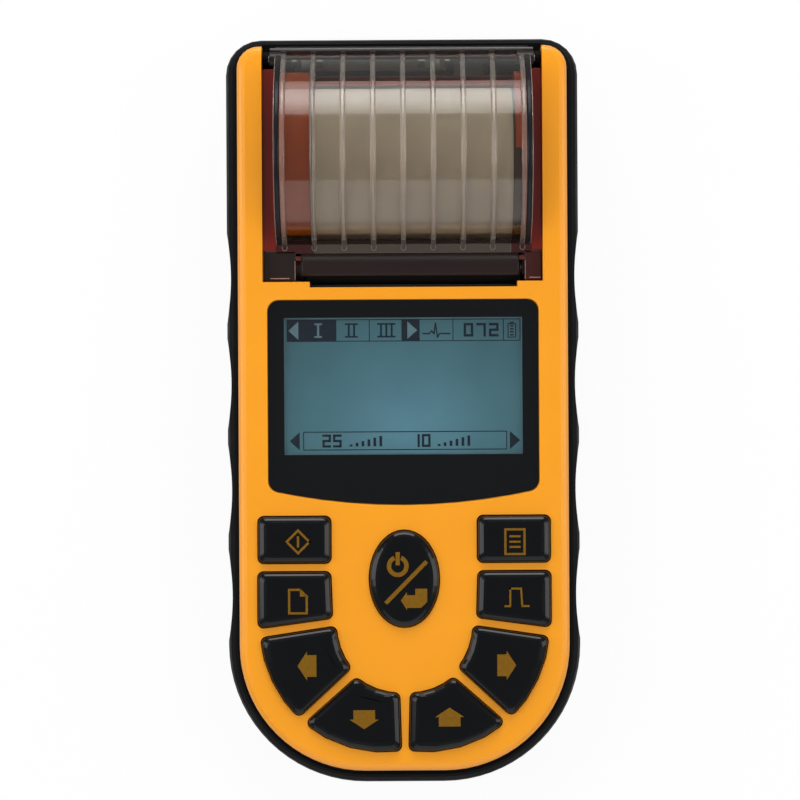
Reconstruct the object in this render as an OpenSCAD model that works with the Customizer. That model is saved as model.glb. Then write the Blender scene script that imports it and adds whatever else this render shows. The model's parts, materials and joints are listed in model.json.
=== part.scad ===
// Handheld single-channel ECG recorder with a built-in thermal printer.
//
// The recorder lies on its back. X runs across it, Y along it towards the printer end, and Z up out of
// the front face. The origin is under the middle of the case, on the surface that the feet stand on.

/* [Case] */
// Width of the case over the grips
body_w = 90; // [86:1:98]
// Length of the case
body_l = 190; // [186:1:205]
// Height of the front face above the feet's soles
face_z = 34; // [33.5:0.5:37]
// Height of the joint between the two covers above the feet's soles
seam_z = 27.5; // [26.5:0.5:28.5]
// Height of the rubber feet
foot_h = 0.8; // [0.5:0.1:1.2]
// Thickness of the covers
wall = 2; // [1.6:0.1:2.3]
// Radius of the two corners at the printer end
top_corner_r = 9; // [8:0.5:12]
// Radius of the two big corners at the keypad end
bottom_corner_r = 35; // [33:1:37]
// How far the front cover stands in from the widest line of the case
rim_inset = 3.4; // [3:0.1:4]
// Depth of the finger hollows in the two long sides
grip_depth = 1.3; // [0.5:0.1:1.5]
// Length of one finger hollow
grip_pitch = 27; // [24:1:28]

/* [Paper] */
// Width of the recording paper
paper_w = 50; // [48:1:51]
// Radius of the paper roll
roll_r = 19; // [17:0.5:20]
// Inner radius of the roll's cardboard core
core_r = 6; // [5:0.5:8]
// Wall of the cardboard core
core_wall = 1.2; // [0.8:0.1:2]
// Free play on each side of the paper roll
paper_play = 0.6; // [0.4:0.1:0.9]
// Thickness of the paper web on its way to the print head
web_t = 0.12; // [0.08:0.01:0.14]

/* [Paper door] */
// Width of the opening for the door in the front cover
opening_w = 70.5; // [69.5:0.5:71]
// Thickness of the door's clear panel
door_t = 1.8; // [1.4:0.1:2]
// Height of the guide ribs inside the door
rib_h = 0.8; // [0.4:0.1:1]
// Width of one guide rib
rib_w = 1.2; // [0.8:0.1:1.6]
// Distance between guide ribs
rib_pitch = 7.5; // [7.2:0.05:7.5]
// Radius of the hinge pins
hinge_pin_r = 1; // [0.8:0.1:1.2]

/* [Printer] */
// Radius of the rubber platen
platen_r = 4.2; // [3.8:0.1:4.4]
// Radius of the platen's steel shaft
platen_shaft_r = 1.5; // [1:0.1:1.8]
// Radius of the platen's bushes
bush_r = 3; // [2.6:0.1:3.2]
// Radius of the stepper motor
motor_r = 5.8; // [5:0.1:5.9]
// Length of the stepper motor
motor_len = 11; // [8:0.5:14]
// Tooth size of the printer's gears
gear_module = 0.5; // [0.45:0.01:0.52]
// Width of the printer's gears
gear_w = 2.4; // [1.8:0.1:2.6]

/* [Display] */
// Width of the display window
lens_w = 68; // [66:0.5:69]
// Thickness of the display window
lens_t = 1.5; // [1.2:0.1:1.7]
// Width of the visible part of the screen
screen_w = 60; // [56:0.5:61]
// Height of the visible part of the screen
screen_l = 34.5; // [32:0.5:35]

/* [Keys] */
// How far the keys stand out of the front face
key_rise = 1.9; // [1.4:0.1:2.4]
// Travel of a key
key_travel = 0.9; // [0.6:0.1:1]
// Gap between a key and its hole
key_gap = 0.3; // [0.2:0.05:0.4]
// Radius of the keys' corners
key_corner_r = 1.6; // [1:0.1:1.8]

/* [Battery and sockets] */
// Radius of one battery cell
cell_r = 9.2; // [8.8:0.1:9.4]
// Length of one battery cell
cell_l = 65; // [60:1:67]
// Distance between the lead socket's two screw posts
post_pitch = 33.3; // [32:0.1:35]
// Thread radius of the screw posts
post_thread_r = 1.4; // [1.2:0.1:1.6]
// Radius of the charging jack's opening
jack_r = 2.9; // [2.5:0.1:3.1]

/* [Hidden] */
$fn = 48;
touch = 0.01;          // how far shapes of one solid run into each other
slack = 0.15;          // clearance round a piece that is laid in place
running = 0.05;        // radial clearance of a turning shaft
far = 200;             // longer than the case, for cuts that run right out

// Case levels
back_z = foot_h;
floor_z = back_z + wall;
inner_face_z = face_z - wall;
y_top = body_l / 2;
y_bot = -body_l / 2;
grip_top_y = y_top - 47.5;
grip_waves = 4;
cover_ends = [-0.4, 0.9]; // how much further in the front cover stops at its top and bottom end

// Paper and door
roll_gap = 0.3;
tray_t = 1;
tray_z = floor_z + 0.1;
roll_y = y_top - 32;
roll_z = tray_z + tray_t + roll_gap + roll_r;
opening_x = opening_w / 2;
opening_y = y_top - 62.5;
slot_depth = 1.4;
slot_w = paper_w + 2.2;
door_x = opening_x - 0.3;
dome_x = door_x - 2.55;
end_wall = 1.7;
tray_x = dome_x - end_wall - 0.3;
right_cheek = 2.1;
bay_x1 = tray_x - right_cheek;
paper_x = bay_x1 - paper_play - paper_w / 2;      // the roll sits to the right, beside the gears
bay_x0 = bay_x1 - paper_w - 2 * paper_play;
dome_y = y_top - 29;
dome_half = 24.1;
ledge_z = seam_z + 3.1;
ledge_t = 1.4;
dome_top = roll_z + roll_r + 1.5 + rib_h + door_t;
dome_rise = dome_top - ledge_z;
dome_r = (dome_half * dome_half + dome_rise * dome_rise) / (2 * dome_rise);
dome_z = dome_top - dome_r;
flange_z = seam_z + 1.1;
flange_t = 1.6;
hinge_y = y_top - 6;
hinge_z = seam_z + 2;
hinge_post_w = 1.5;
door_back_y = y_top - 2.9;

// Printer mechanism
platen_y = opening_y + 3.9;
lip_t = 1.5;
lip_gap = 0.5;
platen_z = ledge_z + 0.8 - lip_t - lip_gap - platen_r;
lip_x0 = paper_x - paper_w / 2 - 4.1;
lip_x1 = paper_x + paper_w / 2 + 2.9;
lip_front = 2.3;
arm_t = 1.2;
frame_t = 1.2;
arm_x0 = lip_x0 + 0.5;
arm_x1 = lip_x1 + 0.7;
frame_x0 = arm_x0 - 0.1 - frame_t;
frame_x1 = arm_x1 + 0.1 + frame_t;
gear_x = frame_x0 - 0.9 - gear_w;
head_gap = 0.35;
head_y = platen_y - platen_r - head_gap;
head_t = 1;
sink_t = 2.4;
head_z0 = platen_z - 5;
sink_z0 = platen_z - 8;
head_top = platen_z + 3.6;
head_w = paper_w + 3;
fin_pitch = 3;
platen_teeth = 16;
idler_teeth = 20;
pinion_teeth = 12;
platen_pitch_r = platen_teeth * gear_module / 2;
idler_pitch_r = idler_teeth * gear_module / 2;
pinion_pitch_r = pinion_teeth * gear_module / 2;
// the door lifts the platen straight off the idler, so the idler lies on that line
lift_dir = atan2(hinge_z - platen_z, hinge_y - platen_y);
idler_dir = lift_dir - 90;
idler_y = platen_y + (platen_pitch_r + idler_pitch_r) * cos(idler_dir);
idler_z = platen_z + (platen_pitch_r + idler_pitch_r) * sin(idler_dir);
pinion_dir = 240;
motor_y = idler_y + (idler_pitch_r + pinion_pitch_r) * cos(pinion_dir);
motor_z = idler_z + (idler_pitch_r + pinion_pitch_r) * sin(pinion_dir);
motor_shaft_r = 1;
pressure_angle = 20;
idler_axle_r = 1;

// Display
lens_y0 = y_top - 118.6;
lens_y1 = y_top - 67.1;
lens_top_r = 2.9;
lens_bottom_r = 3;
lens_sag = 3.8;
lens_z = face_z - 0.25 - lens_t;
seat_t = 1;
mask_t = 0.2;
screen_y = y_top - 88.75;
lcd_border_x = 3.3;
lcd_border_y = 3.6;
lcd_top = lens_z - mask_t - seat_t - 0.1;
glass_t = 1.4;
backlight_t = 1.6;
lcd_board_t = 1.2;

// Boards
board_t = 1.6;
board_z = lcd_top - 0.1 - glass_t - backlight_t - lcd_board_t - 0.2 - board_t;
board_top = board_z + board_t;
board_inset = 8;
board_y1 = y_top - 69.5;

// Keys
key_y = y_bot + 40.8;      // centre of the ring of arrow keys
ring_out_x = 4.2;
key_flange = 0.6;
key_flange_t = 1.2;
key_stem_in = 2;
mat_t = 0.8;
key_foot_z = board_top + mat_t + key_travel + 1.2;
mat_top_y = y_bot + 70.5;
dome_key_r = 3;

// Battery
bay_clear = 0.4;
cell_y0 = y_bot + 43;
cell_z = floor_z + 0.8 + cell_r;
bay_hx = 2 * cell_r + bay_clear + 0.4;
bay_y0 = cell_y0 - 1.4;
bay_y1 = cell_y0 + cell_l + 1.4;
bay_wall = 1.5;
bay_roof_z = cell_z + cell_r + bay_clear;
cover_hx = bay_hx + bay_wall - 0.2;
cover_y0 = bay_y0 - 9.5;
cover_y1 = bay_y1 + 9.5;
cover_t = 1.1;
cover_screw_y = [bay_y0 - 5.2, bay_y1 + 5.2];

// Sockets on the printer end
socket_x = -8;
socket_z = floor_z + 7;
port_board_y = y_top - 10.1;
port_board_t = 1.2;
port_board_z0 = floor_z + 0.5;
port_board_z1 = floor_z + 14.1;
port_flange_y = y_top - 6.2;
usb_x = 17.5;
jack_x = 27.5;

// Fasteners
screw_r = 1.25;
screw_head_r = 2.4;
screw_head_t = 1.6;
small_screw_r = 1;
small_head_r = 1.7;
boss_r = 3.1;
boss_split_z = floor_z + 17;
case_screws_at = [[body_w / 2 - 7.4, y_top - 12.5], [body_w / 2 - 8.2, y_top - 65.2], [5, y_bot + 28.8]];
board_screws_at = [[27.5, board_y1 - 45], [33.5, y_bot + 41.5]];
tray_screws_at = [[tray_x + 2, y_top - 18], [tray_x + 2, y_top - 47]];
frame_screws_x = [frame_x0 + 5, frame_x1 - 5];
frame_base_y = [platen_y + 2, platen_y + 7];
frame_screw_y = frame_base_y[0] + 1.9;
feet_at = [[31, y_top - 17], [25, y_bot + 24]];
foot_r = 4.5;

// ---- Outlines -------------------------------------------------------------------------------

// Points along an arc from angle a0 to a1
function arc(c, r, a0, a1, n) =
    [for (i = [0:n]) let (a = a0 + (a1 - a0) * i / n) c + r * [cos(a), sin(a)]];

// The four corners of a box, anticlockwise
function box2(x0, y0, x1, y1) = [[x0, y0], [x1, y0], [x1, y1], [x0, y1]];

function mirrored(pts) = [for (i = [len(pts) - 1:-1:0]) [-pts[i].x, pts[i].y]];

function unit2(v) = v / norm(v);

// Rounds every corner of a closed outline whose radius in the list r isn't 0
function rounded(pts, r, n = 5) = [
    for (i = [0:len(pts) - 1])
        let (p = pts[i], a = pts[(i + len(pts) - 1) % len(pts)], b = pts[(i + 1) % len(pts)],
             u = unit2(a - p), v = unit2(b - p), half = acos(max(-1, min(1, u * v))) / 2)
        each r[i] == 0 ? [p] :
            let (c = p + unit2(u + v) * r[i] / sin(half), s = p + u * r[i] / tan(half) - c,
                 e = p + v * r[i] / tan(half) - c, a0 = atan2(s.y, s.x), turn = atan2(e.y, e.x) - a0,
                 short = turn > 180 ? turn - 360 : turn < -180 ? turn + 360 : turn)
            arc(c, r[i], a0, a0 + short, n)
];

// Outline of the case, moved in by inset, and further by ends at its top and bottom end
function case_outline(inset, ends = [0, 0]) =
    let (hw = body_w / 2 - inset, hl = body_l / 2 - inset, top = hl - ends[0], bottom = ends[1] - hl,
         rt = top_corner_r - inset, rb = bottom_corner_r - inset)
    concat(
        arc([hw - rt, top - rt], rt, 0, 90, 6),
        arc([rt - hw, top - rt], rt, 90, 180, 6),
        arc([rb - hw, rb + bottom], rb, 180, 270, 18),
        arc([hw - rb, rb + bottom], rb, 270, 360, 18)
    );

// A closed body through rings given as [height, outline], all with as many points
module loft(rings) {
    n = len(rings[0][1]);
    last = len(rings) - 1;
    polyhedron(
        points = [for (r = rings) for (p = r[1]) [p.x, p.y, r[0]]],
        faces = concat(
            [[for (i = [0:n - 1]) i]],
            [for (k = [0:last - 1]) for (i = [0:n - 1])
                [k * n + i, (k + 1) * n + i, (k + 1) * n + (i + 1) % n, k * n + (i + 1) % n]],
            [[for (i = [n - 1:-1:0]) last * n + i]]
        ),
        convexity = 8
    );
}

// A flat plate from z0 to z1 with the outline pts
module plate(pts, z0, z1) translate([0, 0, z0]) linear_extrude(z1 - z0) polygon(pts);

module block(x0, y0, z0, x1, y1, z1) translate([x0, y0, z0]) cube([x1 - x0, y1 - y0, z1 - z0]);

// A profile drawn in Y and Z, from x0 to x1
module slab(x0, x1) translate([x0, 0, 0]) rotate([90, 0, 90]) linear_extrude(x1 - x0) children();

// Round bars along each axis
module bar_x(x0, x1, y, z, r) translate([x0, y, z]) rotate([0, 90, 0]) cylinder(r = r, h = x1 - x0);
module bar_y(y0, y1, x, z, r) translate([x, y1, z]) rotate([90, 0, 0]) cylinder(r = r, h = y1 - y0);
module bar_z(z0, z1, x, y, r) translate([x, y, z0]) cylinder(r = r, h = z1 - z0);

// Copies of the children at points on both sides of the middle
module both_sides(points) for (p = points, s = [-1, 1]) translate([s * p.x, p.y, 0]) children();

// A screw driven upwards, with its head's underside at z = 0, and a cross recess
module screw(length, head_r = screw_head_r) {
    difference() {
        union() {
            translate([0, 0, -screw_head_t]) cylinder(r = head_r, h = screw_head_t);
            translate([0, 0, -touch]) cylinder(r = screw_r, h = length + touch);
        }
        for (a = [0, 90]) rotate(a) translate([-head_r * 0.6, -0.3, -screw_head_t - touch])
            cube([head_r * 1.2, 0.6, 0.8]);
    }
}

// ---- Case -----------------------------------------------------------------------------------

module rear_shell() {
    rim = rim_inset - 0.6;
    hollow_r = (pow(grip_pitch * 0.43, 2) + pow(grip_depth, 2)) / (2 * grip_depth);
    outer = [
        [back_z, 3.4], [back_z + 0.9, 1.9], [back_z + 3.6, 0.5], [back_z + 8, 0], [seam_z - 7.5, 0],
        [seam_z - 3.2, rim * 0.3], [seam_z - 1, rim * 0.72], [seam_z, rim]
    ];
    inner = [
        [floor_z, wall + 2.8], [floor_z + 3, wall + 1.4],
        [seam_z - 6, wall + 1.4], [seam_z + 1, rim_inset + wall]
    ];
    difference() {
        loft([for (r = outer) [r[0], case_outline(r[1])]]);
        loft([for (r = inner) [r[0], case_outline(r[1])]]);
        // finger hollows
        for (i = [0:grip_waves - 1], s = [-1, 1])
            bar_z(0, far, s * (body_w / 2 - grip_depth + hollow_r), grip_top_y - (i + 0.5) * grip_pitch,
                  hollow_r, $fn = 180);
        // lowered wall behind the door
        block(-opening_x, y_top - 7, seam_z - 1.4, opening_x, y_top + 1, far);
    }
}

module battery_bay() {
    difference() {
        block(-bay_hx - bay_wall, bay_y0 - bay_wall, floor_z - touch, bay_hx + bay_wall, bay_y1 + bay_wall,
              bay_roof_z + 1.2);
        block(-bay_hx, bay_y0, 0, bay_hx, bay_y1, bay_roof_z);
    }
    for (y = cover_screw_y) bar_z(back_z + 1, floor_z + 9, 0, y, boss_r + 1.3);
}

// Posts that carry the door's hinge pins, one on each side
module hinge_posts() {
    for (s = [0, 1]) mirror([s, 0, 0])
        slab(door_x - hinge_post_w + slack, door_x + 0.2) polygon(concat(
            [[hinge_y - 2.2, floor_z - touch], [hinge_y + 1.8, floor_z - touch]],
            arc([hinge_y, hinge_z], 1.8, 0, 180, 8)));
}

module rear_cover() {
    color("#17181a") difference() {
        union() {
            rear_shell();
            battery_bay();
            hinge_posts();
            both_sides(case_screws_at) bar_z(floor_z - touch, boss_split_z, 0, 0, boss_r);
            both_sides(board_screws_at) bar_z(floor_z - touch, board_z, 0, 0, 2.4);
            both_sides(tray_screws_at) bar_z(floor_z - touch, flange_z - 1.6, 0, 0, 1.9);
            for (x = frame_screws_x) bar_z(floor_z - touch, floor_z + 0.4, x, frame_screw_y, 1.8);
        }
        // openings in the back
        block(-cover_hx - slack, cover_y0 - slack, -1,
              cover_hx + slack, cover_y1 + slack, back_z + cover_t + 0.1);
        block(-bay_hx, bay_y0, -1, bay_hx, bay_y1, floor_z + 1);
        for (y = cover_screw_y) {
            bar_z(-1, back_z + 2.5, 0, y, boss_r + 0.2);
            bar_z(-1, floor_z + 7, 0, y, screw_r + running);
        }
        // holes for the case screws
        both_sides(case_screws_at) {
            bar_z(-1, back_z + 4, 0, 0, screw_head_r + 0.3);
            bar_z(0, far, 0, 0, screw_r + 0.2);
        }
        both_sides(board_screws_at) bar_z(board_z - 6, far, 0, 0, screw_r + running);
        both_sides(tray_screws_at) bar_z(flange_z - 9, far, 0, 0, small_screw_r + running);
        for (x = frame_screws_x) bar_z(back_z + 0.8, floor_z + 9, x, frame_screw_y, small_screw_r + running);
        // hinge pins
        bar_x(-far, far, hinge_y, hinge_z, hinge_pin_r + running);
        // sockets in the printer end
        block(socket_x - post_pitch / 2 - 4, y_top - 8, socket_z - 6.5,
              socket_x + post_pitch / 2 + 4, far, socket_z + 6.5);
        block(usb_x - 4.3, y_top - 8, socket_z - 4.2, usb_x + 4.3, far, socket_z + 0.8);
        bar_y(y_top - 8, far, jack_x, socket_z - 1, jack_r + 1.3);
    }
}

// The window's outline, with its bowed lower edge, moved in by inset
function lens_outline(inset = 0) = let (hx = lens_w / 2 - inset, y0 = lens_y0 + lens_sag + inset, n = 10,
    bow = [for (i = [1:n - 1]) let (t = 2 * i / n - 1) [t * hx, y0 - lens_sag * (1 - t * t)]])
    rounded(concat([[hx, lens_y1 - inset], [-hx, lens_y1 - inset], [-hx, y0]], bow, [[hx, y0]]),
            concat([lens_top_r, lens_top_r, lens_bottom_r], [for (p = bow) 0], [lens_bottom_r]), 6);

// Cut for the visible part of the screen, grown by margin
module screen_opening(margin) {
    hx = screen_w / 2 + margin;
    hy = screen_l / 2 + margin;
    block(-hx, screen_y - hy, 0, hx, screen_y + hy, far);
}

module front_shell() {
    outer = [
        [seam_z, rim_inset], [face_z - 2.2, rim_inset + 0.05], [face_z - 1.2, rim_inset + 0.3],
        [face_z - 0.55, rim_inset + 0.75], [face_z - 0.15, rim_inset + 1.3], [face_z, rim_inset + 2.1]
    ];
    inner = [
        [seam_z - 1, rim_inset + wall], [inner_face_z - 1.2, rim_inset + wall],
        [inner_face_z, rim_inset + wall + 1]
    ];
    difference() {
        loft([for (r = outer) [r[0], case_outline(r[1], cover_ends)]]);
        loft([for (r = inner) [r[0], case_outline(r[1], cover_ends)]]);
    }
}

module front_cover() {
    cheek = 1.3;
    color("#f59b26") difference() {
        union() {
            front_shell();
            // skirts that hang down beside and in front of the door
            for (s = [0, 1]) mirror([s, 0, 0])
                block(opening_x - touch, opening_y - cheek, seam_z, opening_x + cheek,
                      y_top - rim_inset - wall - cover_ends[0] + touch, inner_face_z + touch);
            block(-opening_x, opening_y - cheek - slot_depth, inner_face_z - 1.5, opening_x, opening_y,
                  inner_face_z + touch);
            // frame that carries the window
            plate(lens_outline(-1.4), lens_z - mask_t - seat_t, inner_face_z + touch);
            both_sides(case_screws_at) bar_z(boss_split_z + 0.2, inner_face_z + touch, 0, 0, boss_r - 0.6);
        }
        // door opening and paper slot
        block(-opening_x, opening_y, seam_z - 1, opening_x, far, far);
        block(paper_x - slot_w / 2, opening_y - slot_depth, 0, paper_x + slot_w / 2, opening_y + 1, far);
        // window seat and screen opening
        plate(lens_outline(-slack), lens_z - mask_t, far);
        screen_opening(1);
        for (k = KEYS) plate(key_outline(k, key_gap), inner_face_z - 1, far);
        both_sides(case_screws_at) bar_z(0, inner_face_z - 1.5, 0, 0, screw_r + running);
    }
}

module battery_cover() {
    color("#1b1c1e") difference() {
        union() {
            plate(rounded(box2(-cover_hx, cover_y0, cover_hx, cover_y1), [3, 3, 3, 3]),
                  back_z, back_z + cover_t);
            block(slack - bay_hx, bay_y0 + slack, back_z + cover_t - touch,
                  bay_hx - slack, bay_y1 - slack, floor_z);
            for (y = cover_screw_y) bar_z(back_z + 0.5, back_z + 2.4, 0, y, boss_r);
        }
        for (y = cover_screw_y) {
            bar_z(-1, back_z + 1, 0, y, screw_head_r + 0.2);
            bar_z(0, far, 0, y, screw_r + 0.2);
        }
        // ribbed thumb area
        for (i = [-3:3]) block(-9, cover_y0 + 17 + i * 2, 0, 9, cover_y0 + 17.9 + i * 2, back_z + 0.5);
    }
}

module rubber_feet() {
    color("#101112") both_sides(feet_at) cylinder(r = foot_r, h = foot_h);
}

module case_screws() {
    color("silver") both_sides(case_screws_at) translate([0, 0, back_z + 4]) screw(inner_face_z - back_z - 7);
}

module battery_cover_screws() {
    color("silver") for (y = cover_screw_y) translate([0, y, back_z + 1]) difference() {
        union() {
            translate([0, 0, -0.9]) cylinder(r = screw_head_r, h = 0.9);
            translate([0, 0, -touch]) cylinder(r = screw_r, h = 6);
        }
        translate([-1.6, -0.3, -1]) cube([3.2, 0.6, 0.6]);
    }
}

// ---- Display --------------------------------------------------------------------------------

module display_lens() {
    color("#20262b", 0.5) plate(lens_outline(), lens_z, lens_z + lens_t);
}

// Black printed border, stuck to the back of the window
module lens_mask() {
    color("black") difference() {
        plate(lens_outline(), lens_z - mask_t, lens_z);
        screen_opening(0);
    }
}

module lcd_box(z0, z1, grow = 0) {
    block(-screen_w / 2 - lcd_border_x - grow, screen_y - screen_l / 2 - lcd_border_y - grow, z0,
          screen_w / 2 + lcd_border_x + grow, screen_y + screen_l / 2 + lcd_border_y + grow, z1);
}

module lcd_panel() {
    color("#5f8a93") lcd_box(lcd_top - 0.1 - glass_t, lcd_top - 0.1);
}

module lcd_backlight() {
    color("#eef2f0") lcd_box(lcd_top - 0.1 - glass_t - backlight_t, lcd_top - 0.1 - glass_t);
}

module lcd_bezel() {
    color("#2a2c2e") difference() {
        lcd_box(lcd_top - 0.1 - glass_t - backlight_t, lcd_top, 0.5);
        lcd_box(0, lcd_top - 0.1, 0.05);
        screen_opening(1);
    }
}

module lcd_board() {
    color("#1f6b3a") lcd_box(board_top + 0.2, lcd_top - 0.1 - glass_t - backlight_t, 0.5);
}

// ---- Boards ---------------------------------------------------------------------------------

module main_board() {
    color("#1f6b3a") difference() {
        intersection() {
            plate(case_outline(board_inset), board_z, board_top);
            block(-far, y_bot + 6, 0, far, board_y1, far);
        }
        both_sides(board_screws_at) bar_z(0, far, 0, 0, screw_r + 0.2);
        both_sides([case_screws_at[2]]) bar_z(0, far, 0, 0, boss_r);
    }
}

module board_screws() {
    color("silver") both_sides(board_screws_at) translate([0, 0, board_top]) mirror([0, 0, 1]) screw(6);
}

// Chips under the main board, at the sides of the battery bay
module board_chips() {
    color("#202224") {
        block(-32, board_y1 - 30, board_z - 1.6, -24, board_y1 - 20, board_z);
        block(25, board_y1 - 26, board_z - 1.6, 33, board_y1 - 18, board_z);
        block(-31, board_y1 - 39, board_z - 2.4, -25, board_y1 - 32, board_z);
        block(24.5, board_y1 - 64, board_z - 3.2, 31.5, board_y1 - 50, board_z);
    }
}

module shield_can() {
    color("silver") difference() {
        block(-12, y_bot + 12, board_z - 4, 12, y_bot + 26, board_z);
        block(-11.6, y_bot + 12.4, board_z - 3.6, 11.6, y_bot + 25.6, board_z + touch);
    }
}

module buzzer() {
    color("#151617") difference() {
        bar_z(board_z - 5, board_z, -27, y_bot + 61, 4.5);
        bar_z(0, board_z - 4, -27, y_bot + 61, 0.8);
    }
}

// Silicone sheet with one dome under each key
module keypad_mat() {
    color("#3a3d40") difference() {
        union() {
            intersection() {
                plate(case_outline(board_inset), board_top, board_top + mat_t);
                block(-far, y_bot + 7, 0, far, mat_top_y, far);
            }
            for (k = KEYS) translate([key_centre(k).x, key_centre(k).y, board_top + mat_t - touch])
                cylinder(r = dome_key_r, h = key_foot_z - board_top - mat_t + touch);
        }
        both_sides([case_screws_at[2]]) bar_z(0, far, 0, 0, boss_r);
        both_sides([board_screws_at[1]]) bar_z(0, far, 0, 0, screw_head_r + 0.3);
    }
}

// ---- Keys -----------------------------------------------------------------------------------
// A key is [name, outline of its cap]. Outlines are given from the middle of the ring of arrow keys.

// Two square-ish keys above the ring on the left
function start_key() = box2(-36.6, 16.1, -18.5, 27.7);
function mode_key() = [[-36.7, -0.3], [-18.2, 2.2], [-18.6, 13.8], [-36.7, 13.8]];

// Arrow keys, between an outer and an inner line that are given as [angle, radius] at both ends
function polar(p) = p[1] * [cos(p[0]), sin(p[0])];
function ring_key(outer, inner, n = 4) = concat(
    [for (i = [0:n]) polar(outer[0] + (outer[1] - outer[0]) * i / n) - [ring_out_x, 0]],
    [for (i = [0:n]) polar(inner[1] + (inner[0] - inner[1]) * i / n)]);
function left_key() = ring_key([[184.9, 32.1], [225.2, 32]], [[179.6, 17.2], [217.7, 17]]);
function down_key() = ring_key([[228.9, 32.1], [275.8, 31.3]], [[226.2, 17.7], [265.1, 16.8]]);

function corners(n, r) = [for (i = [0:n - 1]) r];
function ring_corners(n = 4) = concat([key_corner_r], corners(n - 1, 0), [key_corner_r, key_corner_r],
                                      corners(n - 1, 0), [key_corner_r]);
function power_key() = [for (i = [0:39]) [8.7 * cos(i * 9), 12 + 12.1 * sin(i * 9)]];

KEYS = [
    ["start", rounded(start_key(), corners(4, key_corner_r))],
    ["mode", rounded(mode_key(), corners(4, key_corner_r))],
    ["left", rounded(left_key(), ring_corners(), 4)],
    ["down", rounded(down_key(), ring_corners(), 4)],
    ["up", mirrored(rounded(down_key(), ring_corners(), 4))],
    ["right", mirrored(rounded(left_key(), ring_corners(), 4))],
    ["calibrate", mirrored(rounded(mode_key(), corners(4, key_corner_r)))],
    ["report", mirrored(rounded(start_key(), corners(4, key_corner_r)))],
    ["power", power_key()]
];

function lowest(pts) = [min([for (p = pts) p.x]), min([for (p = pts) p.y])];
function highest(pts) = [max([for (p = pts) p.x]), max([for (p = pts) p.y])];
function key_centre(k) = (lowest(k[1]) + highest(k[1])) / 2 + [0, key_y];

// The cap's outline in its place, grown by d on every side
function key_outline(k, d = 0) = let (c = (lowest(k[1]) + highest(k[1])) / 2, half = highest(k[1]) - c)
    [for (p = k[1]) [c.x + (p.x - c.x) * (1 + d / half.x), key_y + c.y + (p.y - c.y) * (1 + d / half.y)]];

module key(i) {
    k = KEYS[i];
    flange_top = inner_face_z - 0.2;
    crown = [[-1.45, 0], [-1, -0.14], [-0.66, -0.42], [-0.38, -0.84], [-0.17, -1.42], [-0.05, -2.2], [0, -3.3]];
    color("#141518") {
        loft(concat(
            [[flange_top - touch, key_outline(k)]],
            [for (c = crown) [face_z + key_rise + c[0] * key_rise / 1.9, key_outline(k, c[1])]]));
        plate(key_outline(k, key_flange), flange_top - key_flange_t, flange_top);
        plate(key_outline(k, -key_stem_in), key_foot_z, flange_top - key_flange_t + touch);
    }
}

module key_start() key(0);
module key_mode() key(1);
module key_left() key(2);
module key_down() key(3);
module key_up() key(4);
module key_right() key(5);
module key_calibrate() key(6);
module key_report() key(7);
module key_power() key(8);

// ---- Battery --------------------------------------------------------------------------------

module battery_cells() {
    color("#3f7fae") for (s = [-1, 1]) {
        bar_y(cell_y0, cell_y0 + cell_l - 1.5, s * cell_r * 1.005, cell_z, cell_r);
        bar_y(cell_y0 + cell_l - 1.5 - touch, cell_y0 + cell_l - 0.3, s * cell_r * 1.005, cell_z, 3);
    }
}

// Spring strips that the cells press on, at both ends of the bay
module battery_contacts() {
    color("gold") for (s = [-1, 1]) {
        block(s * cell_r - 4, bay_y0, cell_z - 4, s * cell_r + 4, bay_y0 + 0.4, cell_z + 4);
        bar_y(bay_y0 + 0.4 - touch, cell_y0, s * cell_r, cell_z, 1.5);
        block(s * cell_r - 4, bay_y1 - 0.4, cell_z - 4, s * cell_r + 4, bay_y1, cell_z + 4);
        bar_y(cell_y0 + cell_l - 0.3, bay_y1 - 0.4 + touch, s * cell_r, cell_z, 1.5);
    }
}

// ---- Sockets on the printer end -------------------------------------------------------------

// The D-shaped outline of a 15-way lead socket, moved out by grow
function d_outline(grow = 0) = let (hx = 12.2 + grow, h = 3.9 + grow, lean = 0.7)
    rounded([[-hx + lean, -h], [hx - lean, -h], [hx, h], [-hx, h]], [1.6, 1.6, 1.6, 1.6]);

module d_prism(y0, y1, grow = 0) translate([socket_x, y1, socket_z]) rotate([90, 0, 0])
    linear_extrude(y1 - y0) polygon(d_outline(grow));

module lead_socket_shell() {
    color("silver") difference() {
        union() {
            d_prism(port_flange_y, y_top - 0.4, 0.4);
            block(socket_x - 19.5, port_flange_y - 0.8, socket_z - 6.2,
                  socket_x + 19.5, port_flange_y, socket_z + 6.2);
        }
        d_prism(port_flange_y - 2, y_top, 0);
        for (s = [-1, 1]) bar_y(0, far, socket_x + s * post_pitch / 2, socket_z, post_thread_r + 0.2);
    }
}

module lead_socket_insert() {
    color("#1c3f7a") difference() {
        union() {
            d_prism(port_flange_y - 2, y_top - 0.7, -running);
            block(socket_x - 15, port_board_y + port_board_t, socket_z - 5,
                  socket_x + 15, port_flange_y - 0.8, socket_z + 5);
        }
        // two rows of contact holes
        for (i = [0:7]) bar_y(y_top - 4, far, socket_x + (i - 3.5) * 2.77, socket_z + 1.42, 0.55);
        for (i = [0:6]) bar_y(y_top - 4, far, socket_x + (i - 3) * 2.77, socket_z - 1.42, 0.55);
    }
}

module lead_socket_posts() {
    color("silver") for (s = [-1, 1]) translate([socket_x + s * post_pitch / 2, port_flange_y, socket_z])
        rotate([-90, 0, 0]) difference() {
            cylinder(r = 2.6, h = 5, $fn = 6);
            translate([0, 0, 0.6]) cylinder(r = post_thread_r, h = 5);
        }
}

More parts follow.
